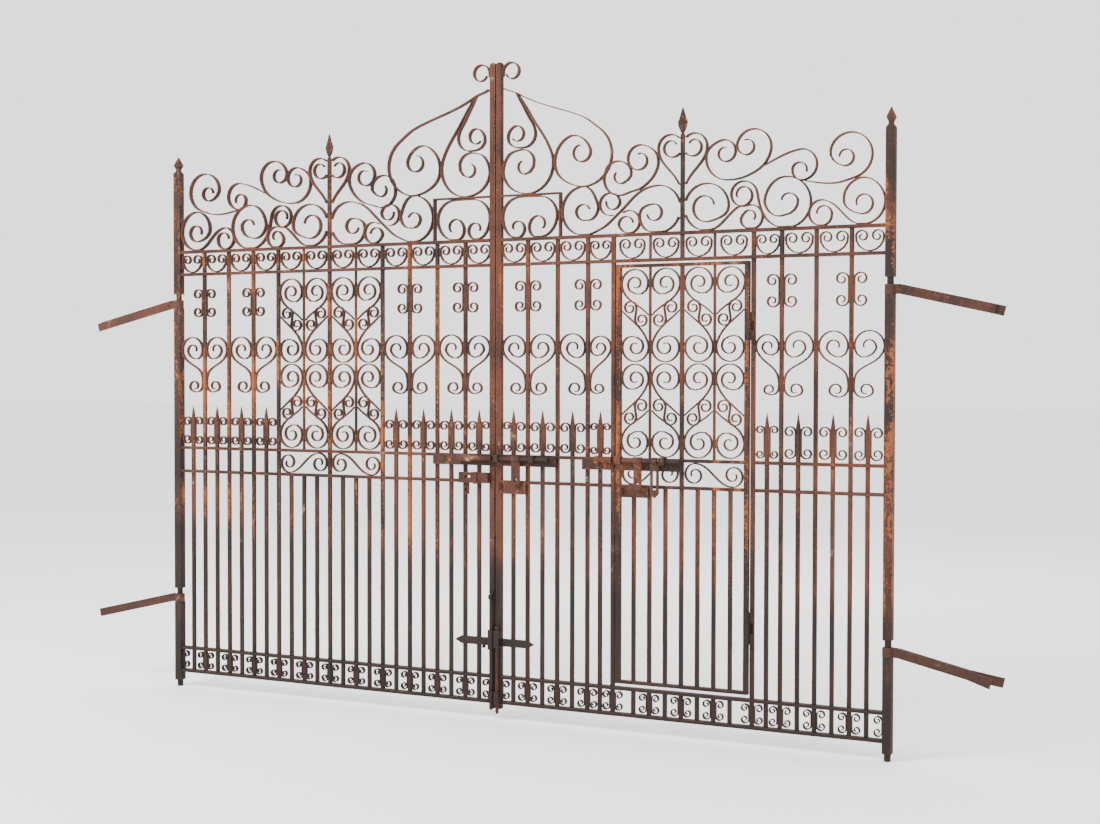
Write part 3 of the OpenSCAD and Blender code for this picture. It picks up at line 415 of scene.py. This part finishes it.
friezeMiddle = (gate["friezeRail"] + gate["topRail"]) / 2
ring = {"strip": [[-31, friezeMiddle + 14, 8, 27, -250, 170],
                  [0, gate["friezeRail"] + railHalf + gate["seat"] + stripHalf, 0],
                  [31, friezeMiddle + 14, 27, 8, 10, 430]], "width": 121}
heart = {"strip": [[61, 1610, 16, 36, 560, 340], [66.5, 1612, 61, 63.5, 215, -25], [5, 1474, -95],
                   [43.4, 1439, 40, 38, 185, 290], [53, 1430, 31, 12, 345, 650]], "width": 133}
smallPair = {"r": 29, "low": 1770, "high": 1918}
spearCurl = {"r": 27, "low": gate["lockRail"] + 16, "high": gate["lockRail"] + 160}


def between(xs, widths):
    return [(xs[i] + widths[i] / 2, xs[i + 1] - widths[i + 1] / 2) for i in range(len(xs) - 1)]


def friezeRings(xs, widths):
    return [shift(ring["strip"], (a + b) / 2, 1, min(1, (b - a - 2 * gate["seat"]) / ring["width"]))
            for a, b in between(xs, widths)]


def plainScrolls(edge, firstSpear, stileFace):
    half = gate["bar"] / 2
    spearsHere = [firstSpear] + spearBars[1:]
    longs = [edge - half] + longBars + [stileFace + half]
    made = []
    for i in range(4):
        for m, clear in ((-1, spearsHere[i] - longs[i]), (1, longs[i + 1] - spearsHere[i])):
            r = min(spearCurl["r"], (clear - gate["bar"] - 2 * gate["seat"] - strips["thickness"]) / 2)
            made.append(shift(cScroll(r, spearCurl["low"], spearCurl["high"]),
                              spearsHere[i] + m * (half + gate["seat"]), m))
    for i in (1, 3):
        for m, clear in ((-1, longs[i] - longs[i - 1]), (1, longs[i + 1] - longs[i])):
            x = longs[i] + m * (half + gate["seat"])
            w = min(1, (clear - gate["bar"] - 2 * gate["seat"]) / heart["width"])
            made += [shift(heart["strip"], x, m, w),
                     shift(cScroll(smallPair["r"], smallPair["low"], smallPair["high"]), x, m)]
    return made


def mirrored(lists):
    return [shift(ks, 0, -1) for ks in lists]


footCurl = {"r": 19.3, "thickness": 4, "margin": 5, "inner": 0.25}


def footScrolls(xs, widths):
    low, high = railHalf + footCurl["margin"], gate["footRail"] - railHalf - footCurl["margin"]
    made = []
    for x, w in zip(xs, widths):
        for m in (-1, 1):
            back = x + m * (w / 2 + gate["seat"])
            if -meetFace < back < hingeFace:
                made.append(shift(cScroll(footCurl["r"], low, high, footCurl["inner"]), back, m))
    return made


panel = {"columnWidth": 131.6, "big": 64.5, "topGap": 3, "bandCurl": 14}
panelMiddle = (gate["lockRail"] + wicket["top"]) / 2
panelTop = wicket["top"] - railHalf - panel["topGap"] - stripHalf - panel["big"]
panelMid = panelMiddle + gate["seat"] + stripHalf + panel["big"]
column = [
    [[2, panelTop - 2, 14, 40, -480, -130], [0, panelTop, 60, panel["big"], -30, 190],
     [63.5, panelTop - 138, -50]],
    [[-63.5, panelMid + 160, -45], [0, panelMid, panel["big"], 60, 20, -210],
     [2, panelMid + 2, 40, 14, -310, -660]],
    [[-24, panelTop - 106, 9, 31, 495, 45], [30, panelTop - 157, 31, 9, 225, 675]]]


def panelScrolls(edge):
    faces = [(-edge, -pitch - gate["thinBar"] / 2), (gate["thinBar"] / 2 - pitch, -gate["bar"] / 2)]
    made = []
    for i, (a, b) in enumerate(faces):
        middle, w = (a + b) / 2, (b - a - 2 * gate["seat"]) / panel["columnWidth"]
        for m in (-1, 1):
            for ks in column:
                turned = shift(ks, 0, 1 if i == 0 else -1)
                made += [shift(turned, -m * middle, -m, w),
                         shift(over(turned, panelMiddle), -m * middle, -m, w)]
    r = (gate["lockRail"] - gate["bandRail"] - gate["railThickness"]) / 2 - gate["seat"] - stripHalf
    bandMiddle = (gate["lockRail"] + gate["bandRail"]) / 2
    a = edge - gate["seat"] - stripHalf - r
    b = gate["bar"] / 2 + gate["seat"] + stripHalf + r
    end = panel["bandCurl"]
    for m in (-1, 1):
        made.append(shift([[-a, bandMiddle, end, r, -210, 270], [-b, bandMiddle, r, end, 90, -390]], 0, -m))
    return made


# Strips over the top rail, from the gate's middle: the tall curve with its top curl, the two
# curves under it, the low pairs, then those round the leaf's post and out to the stile
crest = [
    # tall curve from the meeting stile with a curl at its top
    [[78, 2855, 30, 44, 200, 540], [31.5, 2800, -90], [106, 2755, -30], [418, 2634, -22],
        [430, 2456, 142, 134, 55, -110], [416, 2440, 124, 118, -170, -240], [422, 2472, 46, 34, -340, -620]],
    # second curve from the slope
    [[108, 2752, -52], [205, 2604, -55], [150, 2424, 138, 119.5, 20, -100],
        [150, 2420, 118, 108, -170, -205], [135, 2440, 62, 56, -260, -350], [142, 2426, 36, 28, -450, -600]],
    # third, nearest the stile
    [[100, 2756, -62], [160, 2650, -62], [137, 2570, 60, 60, 10, -90], [112, 2565, 56, 48, -150, -220],
        [102, 2570, 40, 26, -290, -500]],
    # low pair of curls beside the stile
    [[104, 2152, 18, 47, 200, -85], [119, 2203, 86, 86, -190, -265], [217, 2203, 86, 88, 90, -10],
        [216, 2152, 50, 50, -70, -200], [212, 2163, 40, 28, -260, -400]],
    # long strip from the post to the big low curl
    [[768, 2192, 32, 38, 190, 450], [775, 2186, 74, 80, 540, 600], [789, 2207, 102, 102, 640, 815],
        [660, 2250, 225], [560, 2158, 222], [438, 2214, 108, 108, -65, -265], [438, 2210, 70, 40, -342, -433],
        [434, 2210, 36, 30, -530, -700]],
    [[652, 2157, 50, 49, 125, -150], [640, 2147, 37, 31, -180, -350]],
    [[562, 2238, 50, 48, -75, -345], [572, 2247, 36, 29, -375, -550]],
    # upper strip left of the post
    [[700, 2425, 24, 64, 110, -280], [706, 2415, 82, 84, -360, -380], [721, 2308, 215],
        [606, 2349, 76, 73, -65, -200], [602, 2356, 70, 63, -235, -340], [610, 2358, 34, 26, -430, -580]],
    # right of the post: low
    [[1005, 2208, 38, 66, 10, 285], [1010, 2207, 99, 101, 360, 628], [1146, 2198, 35],
        [1208, 2155, 52, 49, 110, -150], [1204, 2157, 30, 20, -230, -400]],
    [[1172, 2250, 27, 63, 200, -350], [1360, 2210, 106, 108, -120, 92], [1352, 2210, 86, 52, 175, 270],
        [1362, 2212, 50, 22, 370, 520]],
    # upper, from the post to the stile
    [[1092, 2432, 20, 56, 79, 468], [1095, 2425, 89, 108, 548, 626], [1225, 2345, 28],
        [1217, 2448, 79, 74, -15, 170], [1188, 2453, 36, 28, 260, 470]],
    [[1266.5, 2369.5, 25], [1428, 2362, 66, 62, 100, -100], [1420, 2342, 34, 28, -190, -380]],
    [[1424, 2300, -12], [1560, 2280, 0], [1630, 2396, 98, 84, -75, 165], [1612, 2386, 38, 26, 260, 540]],
    [[1686, 2195, 27, 46, 202, -99], [1684, 2202, 80, 96, -190, -265], [1685, 2199, 92, 92, -350, -450],
        [1512, 2160, 54, 52, 75, 290], [1518, 2157, 38, 26, 360, 540]]]
lyre = [[50, 2468, 24, 62, 150, -360], [9, 2285, -100]]
crestFrame = {"x": 325, "z": 2298, "thickness": 8}


def crestStrips():
    lists = [shift(ks, -gate["leafMiddle"]) for ks in crest]
    return lists + [shift(lyre, 0, m) for m in (-1, 1)]


bar, thin, stile, meet, jamb = (gate[k] for k in ("bar", "thinBar", "hingeStile", "meetingStile", "jamb"))
leftLongs = [-stileMiddle] + [pitch * k for k in range(-5, 6)] + [gate["leafMiddle"]]
rightUprights = [-x for x in reversed(longBars)] + [-jambMiddle, -pitch, 0, pitch, jambMiddle] + longBars
rightLongs = [-stileMiddle] + rightUprights + [gate["leafMiddle"]]
uprightWidths = {"left": [meet] + [bar] * 4 + [thin, bar, thin] + [bar] * 4 + [stile],
                 "right": [meet] + [bar] * 3 + [jamb, thin, bar, thin, jamb] + [bar] * 3 + [stile]}

for side, longs in (("left", leftLongs), ("right", rightLongs)):
    scrolls(f"{side}_frieze_rings", side, friezeRings(longs, uprightWidths[side]), "brown_rust")
    edge, first = (2 * pitch + bar / 2, spearBars[0]) if side == "left" else \
        (jambMiddle + jamb / 2, jambSpear)
    scrolls(f"{side}_outer_scrolls", side, plainScrolls(edge, first, hingeFace), "brown_rust")
    scrolls(f"{side}_inner_scrolls", side, mirrored(plainScrolls(edge, first, meetFace)), "brown_rust")
    footWidths = [meet] + [bar] * 11 + [stile] if side == "left" else \
        [meet] + [bar] * 3 + [jamb, bar, bar, bar, jamb] + [bar] * 3 + [stile]
    scrolls(f"{side}_foot_scrolls", side, footScrolls(longs, footWidths), "dark_iron", footCurl["thickness"])
scrolls("left_panel_scrolls", "left", panelScrolls(2 * pitch - bar / 2), "brown_rust")
scrolls("wicket_panel_scrolls", "right", panelScrolls(wicket["width"] / 2 - wicket["stile"]), "brown_rust")
print("scrolls made")

# ---- bars and rails ----
step = 70    # a forged bar wanders a little from one hammer blow to the next
wander = {"bars": 2.2, "rails": 2.0, "square": 1.5}
corner = {"bars": 1.3, "rails": 1.2, "stiles": 1.5, "crest": 1.0}
taper = ((0.55, 0.62), (0.2, 0.27))    # a point's girth, at parts of its length from the tip


def upright(x, z0, z1, y=0, point=0, side=None):
    n = max(2, round((z1 - point - z0) / step))
    levels = [(z0 + (z1 - point - z0) * i / n, 1.0) for i in range(n + 1)]
    if point:
        levels += [(z1 - point * part, girth) for part, girth in taper] + [(z1 - 1, 0.06)]
    return [(place(onLeaf(side, x) if side else x, y, z), forward, w) for z, w in levels]


def level(x0, x1, z, side, y=0):
    a, b = sorted((onLeaf(side, x0), onLeaf(side, x1)))
    n = max(2, round((b - a) / step))
    return [(place(a + (b - a) * i / n, y, z), forward, 1.0) for i in range(n + 1)]


def joined(name, pieces):
    mesh = bpy.data.meshes.new(name)
    form = bmesh.new()
    for piece in pieces:
        form.from_mesh(piece.data)
    form.to_mesh(mesh)
    form.free()
    for material in pieces[0].data.materials:
        mesh.materials.append(material)
    for piece in pieces:
        bpy.data.objects.remove(piece)
    made = linkObject(name, mesh)
    crease(mesh)
    return made


lowEnd, highEnd = -railHalf, gate["topRail"] + railHalf


def bars(name, side, xs, z0, z1, finish, width=bar, point=0):
    return sweptPiece(name, [upright(x, z0, z1, 0, point, side) for x in xs], width, width, finish,
                      corner["bars"], wander["bars"])


def rails(name, side, spans, finish, depth=gate["railDepth"]):
    return sweptPiece(name, [level(a, b, z, side) for a, b, z in spans], gate["railThickness"], depth, finish,
                      corner["rails"], wander["rails"])


def bothSides(xs):
    return [-x for x in reversed(xs)] + list(xs)


bandTop, lockLow = gate["bandRail"] + railHalf, gate["lockRail"] - railHalf
spearTop = gate["lockRail"] + gate["spear"]
pointLength = 65

standFor(joined("left_long_bars_forged", [
    bars("long", "left", bothSides(longBars) + [-2 * pitch, 0, 2 * pitch], lowEnd, highEnd, "orange_rust"),
    bars("low", "left", [-pitch, pitch], lowEnd, bandTop, "orange_rust"),
    bars("thin", "left", [-pitch, pitch], lockLow, highEnd, "orange_rust", thin)]),
    "left_long_bars")
standFor(joined("left_spear_bars_forged", [
    bars("spears", "left", bothSides(spearBars), lowEnd, spearTop, "brown_rust", bar, pointLength),
    bars("dogs", "left", panelDogs, lowEnd, bandTop, "brown_rust")]), "left_spear_bars")
standFor(rails("left_rails_forged", "left", [(-meetFace, hingeFace, z) for z in (
    0, gate["footRail"], gate["bandRail"], gate["lockRail"], gate["friezeRail"], gate["topRail"])],
    "brown_rust"), "left_rails")
standFor(rails("right_head_rails_forged", "right", [(-meetFace, hingeFace, gate["friezeRail"]),
                                                    (-meetFace, hingeFace, gate["topRail"])], "brown_rust"),
         "right_head_rails")
standFor(rails("right_foot_rails_forged", "right", [(-meetFace, hingeFace, 0),
                                                    (-meetFace, hingeFace, gate["footRail"])], "dark_iron"),
         "right_foot_rails")
for m, node, face in ((1, "right_outer_grille", hingeFace), (-1, "right_inner_grille", meetFace)):
    spearsHere = [jambSpear] + spearBars[1:]
    standFor(joined(node + "_forged", [
        bars("jamb", "right", [m * jambMiddle], lowEnd, highEnd, "brown_rust", jamb),
        bars("long", "right", [m * x for x in longBars], lowEnd, highEnd, "brown_rust"),
        bars("spears", "right", [m * x for x in spearsHere], lowEnd, spearTop, "brown_rust", bar,
             pointLength),
        rails("rails", "right", [(m * (jambMiddle + jamb / 2), m * face, z)
                                 for z in (gate["bandRail"], gate["lockRail"])], "brown_rust")]),
        node)
standFor(joined("right_door_bars_forged", [
    bars("head", "right", [0], gate["friezeRail"] - railHalf, highEnd, "brown_rust"),
    bars("thin", "right", [-pitch, pitch], gate["friezeRail"] - railHalf, highEnd, "brown_rust", thin),
    bars("foot", "right", panelDogs + [-pitch, 0, pitch], lowEnd, gate["footRail"] + railHalf,
         "brown_rust")]),
    "right_door_bars")
wicketLow, wicketTop = wicket["low"] - railHalf, wicket["top"] + railHalf
wicketInner = wicket["width"] / 2 - wicket["stile"]
wicketBars = [bars("middle", "right", [0], wicketLow, wicketTop, "brown_rust"),
              bars("low", "right", panelDogs + [-pitch, pitch], wicketLow, bandTop, "brown_rust"),
              bars("thin", "right", [-pitch, pitch], lockLow, wicketTop, "brown_rust", thin)]
standFor(joined("wicket_bars_forged", wicketBars), "wicket_bars")
wicketSides = [upright(m * (wicketInner + wicket["stile"] / 2), wicketLow, wicketTop, 0, 0, "right")
               for m in (-1, 1)]
wicketStiles = sweptPiece("stiles", wicketSides, wicket["stile"], wicket["depth"], "orange_rust",
                          corner["stiles"], wander["bars"])
standFor(joined("wicket_frame_forged", [wicketStiles, rails(
    "rails", "right", [(-wicketInner, wicketInner, z) for z in
                       (wicket["low"], gate["bandRail"], gate["lockRail"], wicket["top"])],
    "orange_rust", wicket["depth"])]), "wicket_frame")
print("bars and rails made")

# ---- cresting ----
crestBase = highEnd + gate["seat"]
crestTip = 90


def cutLine(ks, side):    # stops a strip at the post and the stiles, and lays it on the top rail
    half = stripHalf + gate["seat"]
    stops = [(0, bar / 2 + half), (-stileMiddle, meet / 2 + half), (gate["leafMiddle"], stile / 2 + half)]
    runs, now = [], []
    for point, way, girth in leafLine(ks, side, crestTip):
        s = (point.x * 1000 - gate["originX"] - onLeaf(side, 0)) * (1 if side == "right" else -1)
        point.z = max(point.z, place(0, 0, crestBase + stripHalf).z)
        if any(abs(s - x) < w for x, w in stops):
            runs.append(now)
            now = []
        else:
            now.append((point, way, girth))
    return [run for run in runs + [now] if len(run) > 2]


def cresting(side):
    node = side + "_cresting"
    lines = [run for ks in crestStrips() for run in cutLine(ks, side)]
    strip = sweptPiece("strips", lines, strips["thickness"], strips["crestDepth"], "crest_rust",
                       corner["crest"])
    x0, x1 = (gate["leafMiddle"] - gate["meetingGap"] / 2 - meet), gate["leafMiddle"] - crestFrame["x"]
    t = crestFrame["thickness"]
    square = sweptPiece("square", [level(-x0, -x1, crestFrame["z"], side),
                                   upright(-x1 - t / 2, crestBase, crestFrame["z"] + t / 2, side=side)],
                        t, strips["crestDepth"], "crest_rust", corner["rails"], wander["square"])
    standFor(joined(node + "_forged", [strip, square]), node)


def loft(name, rings, finish):    # closes rings of points into one skin
    form = bmesh.new()
    rows = [[form.verts.new(p) for p in ring] for ring in rings]
    for a, b in zip(rows, rows[1:]):
        for i in range(len(a)):
            j = (i + 1) % len(a)
            form.faces.new((a[i], a[j], b[j], b[i]))
    form.faces.new(list(reversed(rows[0])))
    form.faces.new(rows[-1])
    bmesh.ops.recalc_face_normals(form, faces=form.faces)
    mesh = bpy.data.meshes.new(name)
    form.to_mesh(mesh)
    form.free()
    mesh.materials.append(finishes[finish])
    piece = linkObject(name, mesh)
    crease(mesh, 50)
    return piece


leafPoint = {"low": 2525, "wide": 2575, "top": 2638, "half": 23, "neck": 6, "thick": 5, "post": 2517,
             "rings": 22, "facets": ((0.55, 0.62), (0.16, 1))}


def leafRings(x):    # a spear drawn out flat, with a ridge down its middle
    low, half, neck = leafPoint["low"], leafPoint["half"], leafPoint["neck"]
    tall = leafPoint["top"] - low
    rise = (leafPoint["wide"] - low) / tall
    rows = []
    for i in range(leafPoint["rings"] + 1):
        t = i / leafPoint["rings"]
        w = neck + (half - neck) * math.sin(min(1, t / rise) * math.pi / 2)
        if t > rise:
            u = (t - rise) / (1 - rise)
            w = half * (1 - u) ** 0.85 * (1 - 0.12 * math.sin(math.pi * u)) + 0.4
        d = min(leafPoint["thick"] * (0.95 - 0.75 * max(0, t - rise)), w * 0.9)
        quarter = [(w * a, d * b) for a, b in leafPoint["facets"]]
        top = [(w, 0)] + quarter + [(-a, b) for a, b in reversed(quarter)]
        rows.append([place(x + a, b, low + tall * t) for a, b in top + [(-a, -b) for a, b in top]])
    return rows


def roundRings(x, y, levels, sides=20):
    return [[place(x + r * math.cos(2 * math.pi * i / sides), y + r * math.sin(2 * math.pi * i / sides), z)
             for i in range(sides)] for z, r in levels]


collar = ((-6, 7), (-4, 9.4), (0, 10), (4, 9.2), (7, 6.5), (9, 6))    # height from the post's top, radius
for side in ("left", "right"):
    cresting(side)
    x = onLeaf(side, 0)
    post = leafPoint["post"]
    standFor(joined(f"{side}_crest_post_forged", [
        sweptPiece("post", [upright(x, highEnd, post)], bar, bar, "orange_rust", corner["bars"],
                   wander["bars"]),
        loft("collar", roundRings(x, 0, [(post + up, r) for up, r in collar]), "orange_rust"),
        loft("leaf", leafRings(x), "orange_rust")]), f"{side}_crest_post")
print("cresting made")

# ---- stiles, straps and fittings: the frame's solids with their edges worn round ----
# finish, material slot, width of the worn edge and the nodes
worn = [("orange_rust", "orange_rust", 2.2, ("left_hinge_stile", "right_hinge_stile")),
        ("brown_rust", "brown_rust", 1.6, ("left_meeting_stile", "right_meeting_stile")),
        ("straps", "dark_iron", 1.4, ("straps_left", "straps_right")),
        ("fittings", "dark_iron", 0.9, ("left_lock_plates", "right_lock_plates", "wicket_jamb_fittings",
                                        "wicket_fittings")),
        ("fittings", "orange_rust", 0.8, ("centre_bolt",)),
        ("fittings", "brown_rust", 0.8, ("wicket_bolt", "centre_hasp", "wicket_hasp")),
        ("straps", "dark_iron", 0.8, ("wicket_drop_ring",)),
        ("fittings", "orange_rust", 0.9, ("flat_drop_bolt",)),
        ("straps", "dark_iron", 0.9, ("round_drop_bolt",))]


def wornCopy(node, finish, width):
    piece = linkObject(node + "_worn", nodes[node].data.copy())
    form = bmesh.new()
    form.from_mesh(piece.data)
    bmesh.ops.remove_doubles(form, verts=form.verts, dist=2e-6)
    bmesh.ops.dissolve_limit(form, angle_limit=math.radians(2), verts=form.verts, edges=form.edges)
    form.to_mesh(piece.data)
    form.free()
    piece.data.materials.clear()
    for material in (finish, "worn_edge"):
        piece.data.materials.append(finishes[material])
    bevel = piece.modifiers.new("worn", "BEVEL")
    bevel.width, bevel.segments, bevel.limit_method = width / 1000, 2, "ANGLE"
    bevel.angle_limit = math.radians(35)
    bevel.material = 1
    bevel.use_clamp_overlap = True
    made = bpy.data.meshes.new_from_object(piece.evaluated_get(bpy.context.evaluated_depsgraph_get()))
    piece.modifiers.remove(bevel)
    old, piece.data = piece.data, made
    bpy.data.meshes.remove(old)
    made.name = piece.name
    crease(made, 32)
    standFor(piece, node)


for finish, slot, width, group in worn:
    for node in group:
        wornCopy(node, finish, width)
print("worn pieces made")

# ---- rivets ----
rivets = {"head": 5.2, "strapHead": 7.5, "rise": 0.55, "sunk": 0.6, "seed": 7}
strap = {"thickness": 9, "middle": 20, "bend": 38, "droop": 13, "feet": (1820, 344), "lift": 0.5,
         "rivets": (58, 112)}    # rivets by their distance from the hinge line


def rivetTree():    # a hammered dome on every point, each a little turned and uneven
    tree = bpy.data.node_groups.new("rivet heads", "GeometryNodeTree")
    face = tree.interface
    face.new_socket("Geometry", in_out="INPUT", socket_type="NodeSocketGeometry")
    for name in ("Head", "Rise"):
        face.new_socket(name, in_out="INPUT", socket_type="NodeSocketFloat")
    face.new_socket("Seed", in_out="INPUT", socket_type="NodeSocketInt")
    face.new_socket("Finish", in_out="INPUT", socket_type="NodeSocketMaterial")
    face.new_socket("Geometry", in_out="OUTPUT", socket_type="NodeSocketGeometry")
    given = addNode(tree, "NodeGroupInput").outputs
    dome = addNode(tree, "GeometryNodeMeshUVSphere", None, Segments=12, Rings=7, Radius=given["Head"])
    flat = addNode(tree, "ShaderNodeCombineXYZ", None, X=1.0, Y=1.0, Z=given["Rise"])
    dome = addNode(tree, "GeometryNodeTransform", None, Geometry=dome.outputs[0], Scale=flat.outputs[0])
    way = addNode(tree, "GeometryNodeInputNamedAttribute", {"data_type": "FLOAT_VECTOR"}, Name="way")
    turn = addNode(tree, "FunctionNodeAlignRotationToVector", {"axis": "Z"}, Vector=way.outputs[0])
    size = addNode(tree, "FunctionNodeRandomValue", {"data_type": "FLOAT_VECTOR"}, in0=(0.88, 0.88, 0.8),
                   in1=(1.08, 1.08, 1.1), Seed=given["Seed"])
    heads = addNode(tree, "GeometryNodeInstanceOnPoints", None, Points=given["Geometry"],
                    Instance=dome.outputs[0], Rotation=turn.outputs[0], Scale=size.outputs[0])
    heads = addNode(tree, "GeometryNodeRealizeInstances", None, Geometry=heads.outputs[0])
    heads = addNode(tree, "GeometryNodeSetMaterial", None, Geometry=heads.outputs[0],
                    Material=given["Finish"])
    addNode(tree, "NodeGroupOutput", None, Geometry=heads.outputs[0])
    return tree


rivetMaker = rivetTree()


def rivetHeads(body, points, finish="fittings", head=rivets["head"]):    # points: (x, y, z, way)
    mesh = bpy.data.meshes.new(body + "_rivets")
    mesh.from_pydata([place(*p[:3]) for p in points], [], [])
    ways = [c for p in points for c in p[3]]
    mesh.attributes.new("way", "FLOAT_VECTOR", "POINT").data.foreach_set("vector", ways)
    piece = evaluated(linkObject(mesh.name, mesh), rivetMaker,
                      {"Head": head / 1000, "Rise": rivets["rise"], "Seed": rivets["seed"],
                       "Finish": finishes[finish]})
    crease(piece.data, 60)
    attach(piece, body)


centre = gate["width"] / 2
backward = (0, -1, 0)
plateThick, barThick = 6, 24
railPlate = -gate["railDepth"] / 2 - plateThick    # front faces of the plates
wicketPlate = -wicket["depth"] / 2 - plateThick
barPlate = -gate["bar"] / 2 - plateThick
lockBar = -gate["railDepth"] / 2 - barThick
wicketEdge = gate["leafMiddle"] - wicket["width"] / 2
sunk = rivets["sunk"]


def onPlate(us, zs, face):    # heads on a plate's front, us from the gate's middle
    return [(centre + u, face + sunk, z, backward) for u in us for z in zs]


rivetHeads("left_leaf", onPlate((-308, -252, -198), (1092,), railPlate) + onPlate((-308,), (1114,), railPlate)
           + onPlate((-168, -106, -34), (1038,), lockBar) + onPlate((-88, -160), (275,), barPlate))
rivetHeads("right_leaf", onPlate((60, 150, 240, 298), (1088,), railPlate)
           + onPlate((298,), (1114,), railPlate) + onPlate((42, 146), (998,), railPlate)
           + onPlate((146,), (962,), railPlate) + onPlate((450, 500), (1088, 1114), railPlate)
           + onPlate((88, 160), (275,), barPlate))
rivetHeads("wicket_door", onPlate([wicketEdge + u for u in (60, 120, 200, 300)], (1084,), wicketPlate)
           + onPlate([wicketEdge + u for u in (32, 144)], (998, 964), wicketPlate))
strapRivets = []
slope = math.radians(strap["droop"])
for m, x in ((-1, 0), (1, gate["width"])):
    for z in strap["feet"]:
        for distance in strap["rivets"]:
            along = distance - strap["bend"]
            across = x + m * (strap["bend"] + along * math.cos(slope) + strap["middle"] * math.sin(slope))
            high = z + strap["lift"] - along * math.sin(slope) + strap["middle"] * math.cos(slope)
            strapRivets += [(across, -strap["thickness"] + sunk, high, backward),
                            (across, strap["thickness"] - sunk, high, forward)]
rivetHeads("wall_straps", strapRivets, "straps", rivets["strapHead"])
print("rivets made")

# ---- stage ----
stage = {"floor": (0.93, 0.93, 0.925), "floorRoughness": 0.9, "half": 60, "below": 0.002, "world": 2.0,
         "lamp": (1, 0.985, 0.965), "aim": (1.9, 0, 1.0)}


def buildStage():
    low = cadBox[0][2] - stage["below"]
    mesh = bpy.data.meshes.new("floor")
    h = stage["half"]
    mesh.from_pydata([(-h, -h, low), (h, -h, low), (h, h, low), (-h, h, low)], [], [(0, 1, 2, 3)])
    material = bpy.data.materials.new("floor")
    material.use_nodes = True
    shader = material.node_tree.nodes["Principled BSDF"]
    shader.inputs["Base Color"].default_value = (*stage["floor"], 1)
    shader.inputs["Roughness"].default_value = stage["floorRoughness"]
    mesh.materials.append(material)
    linkObject("floor", mesh)
    world = bpy.data.worlds.new("studio")
    bpy.context.scene.world = world
    world.use_nodes = True
    world.node_tree.nodes["Background"].inputs[0].default_value = (1, 1, 1, 1)
    world.node_tree.nodes["Background"].inputs[1].default_value = stage["world"]


def addLight(name, at, towards, size, power):
    lamp = bpy.data.lights.new(name, "AREA")
    lamp.shape, lamp.size, lamp.energy = "DISK", size, power
    lamp.color = stage["lamp"]
    obj = bpy.data.objects.new(name, lamp)
    obj.location = at
    obj.rotation_euler = (Vector(towards) - Vector(at)).to_track_quat("-Z", "Y").to_euler()
    bpy.context.scene.collection.objects.link(obj)


view = {"at": (5325.14, -6470.76, 1151.56), "yaw": 25.810, "pitch": -1.356, "roll": -0.1, "lens": 52.57}


def addCamera():
    camera = bpy.data.cameras.new("camera")
    camera.lens, camera.sensor_width = view["lens"], 36
    camera.clip_end = 200
    obj = bpy.data.objects.new("camera", camera)
    obj.location = Vector(view["at"]) / 1000
    obj.rotation_euler = (math.radians(90 + view["pitch"]), math.radians(view["roll"]),
                          math.radians(view["yaw"]))
    bpy.context.scene.collection.objects.link(obj)
    bpy.context.scene.camera = obj


buildStage()
addLight("key", (-1.5, -6.0, 6.5), (1.9, 0, 0.9), 3.0, 1100)
addLight("fill", (8.0, -5.0, 3.0), stage["aim"], 5.0, 120)
addLight("back", (2.0, 6.0, 5.0), stage["aim"], 5.0, 200)
addCamera()
print("stage set")
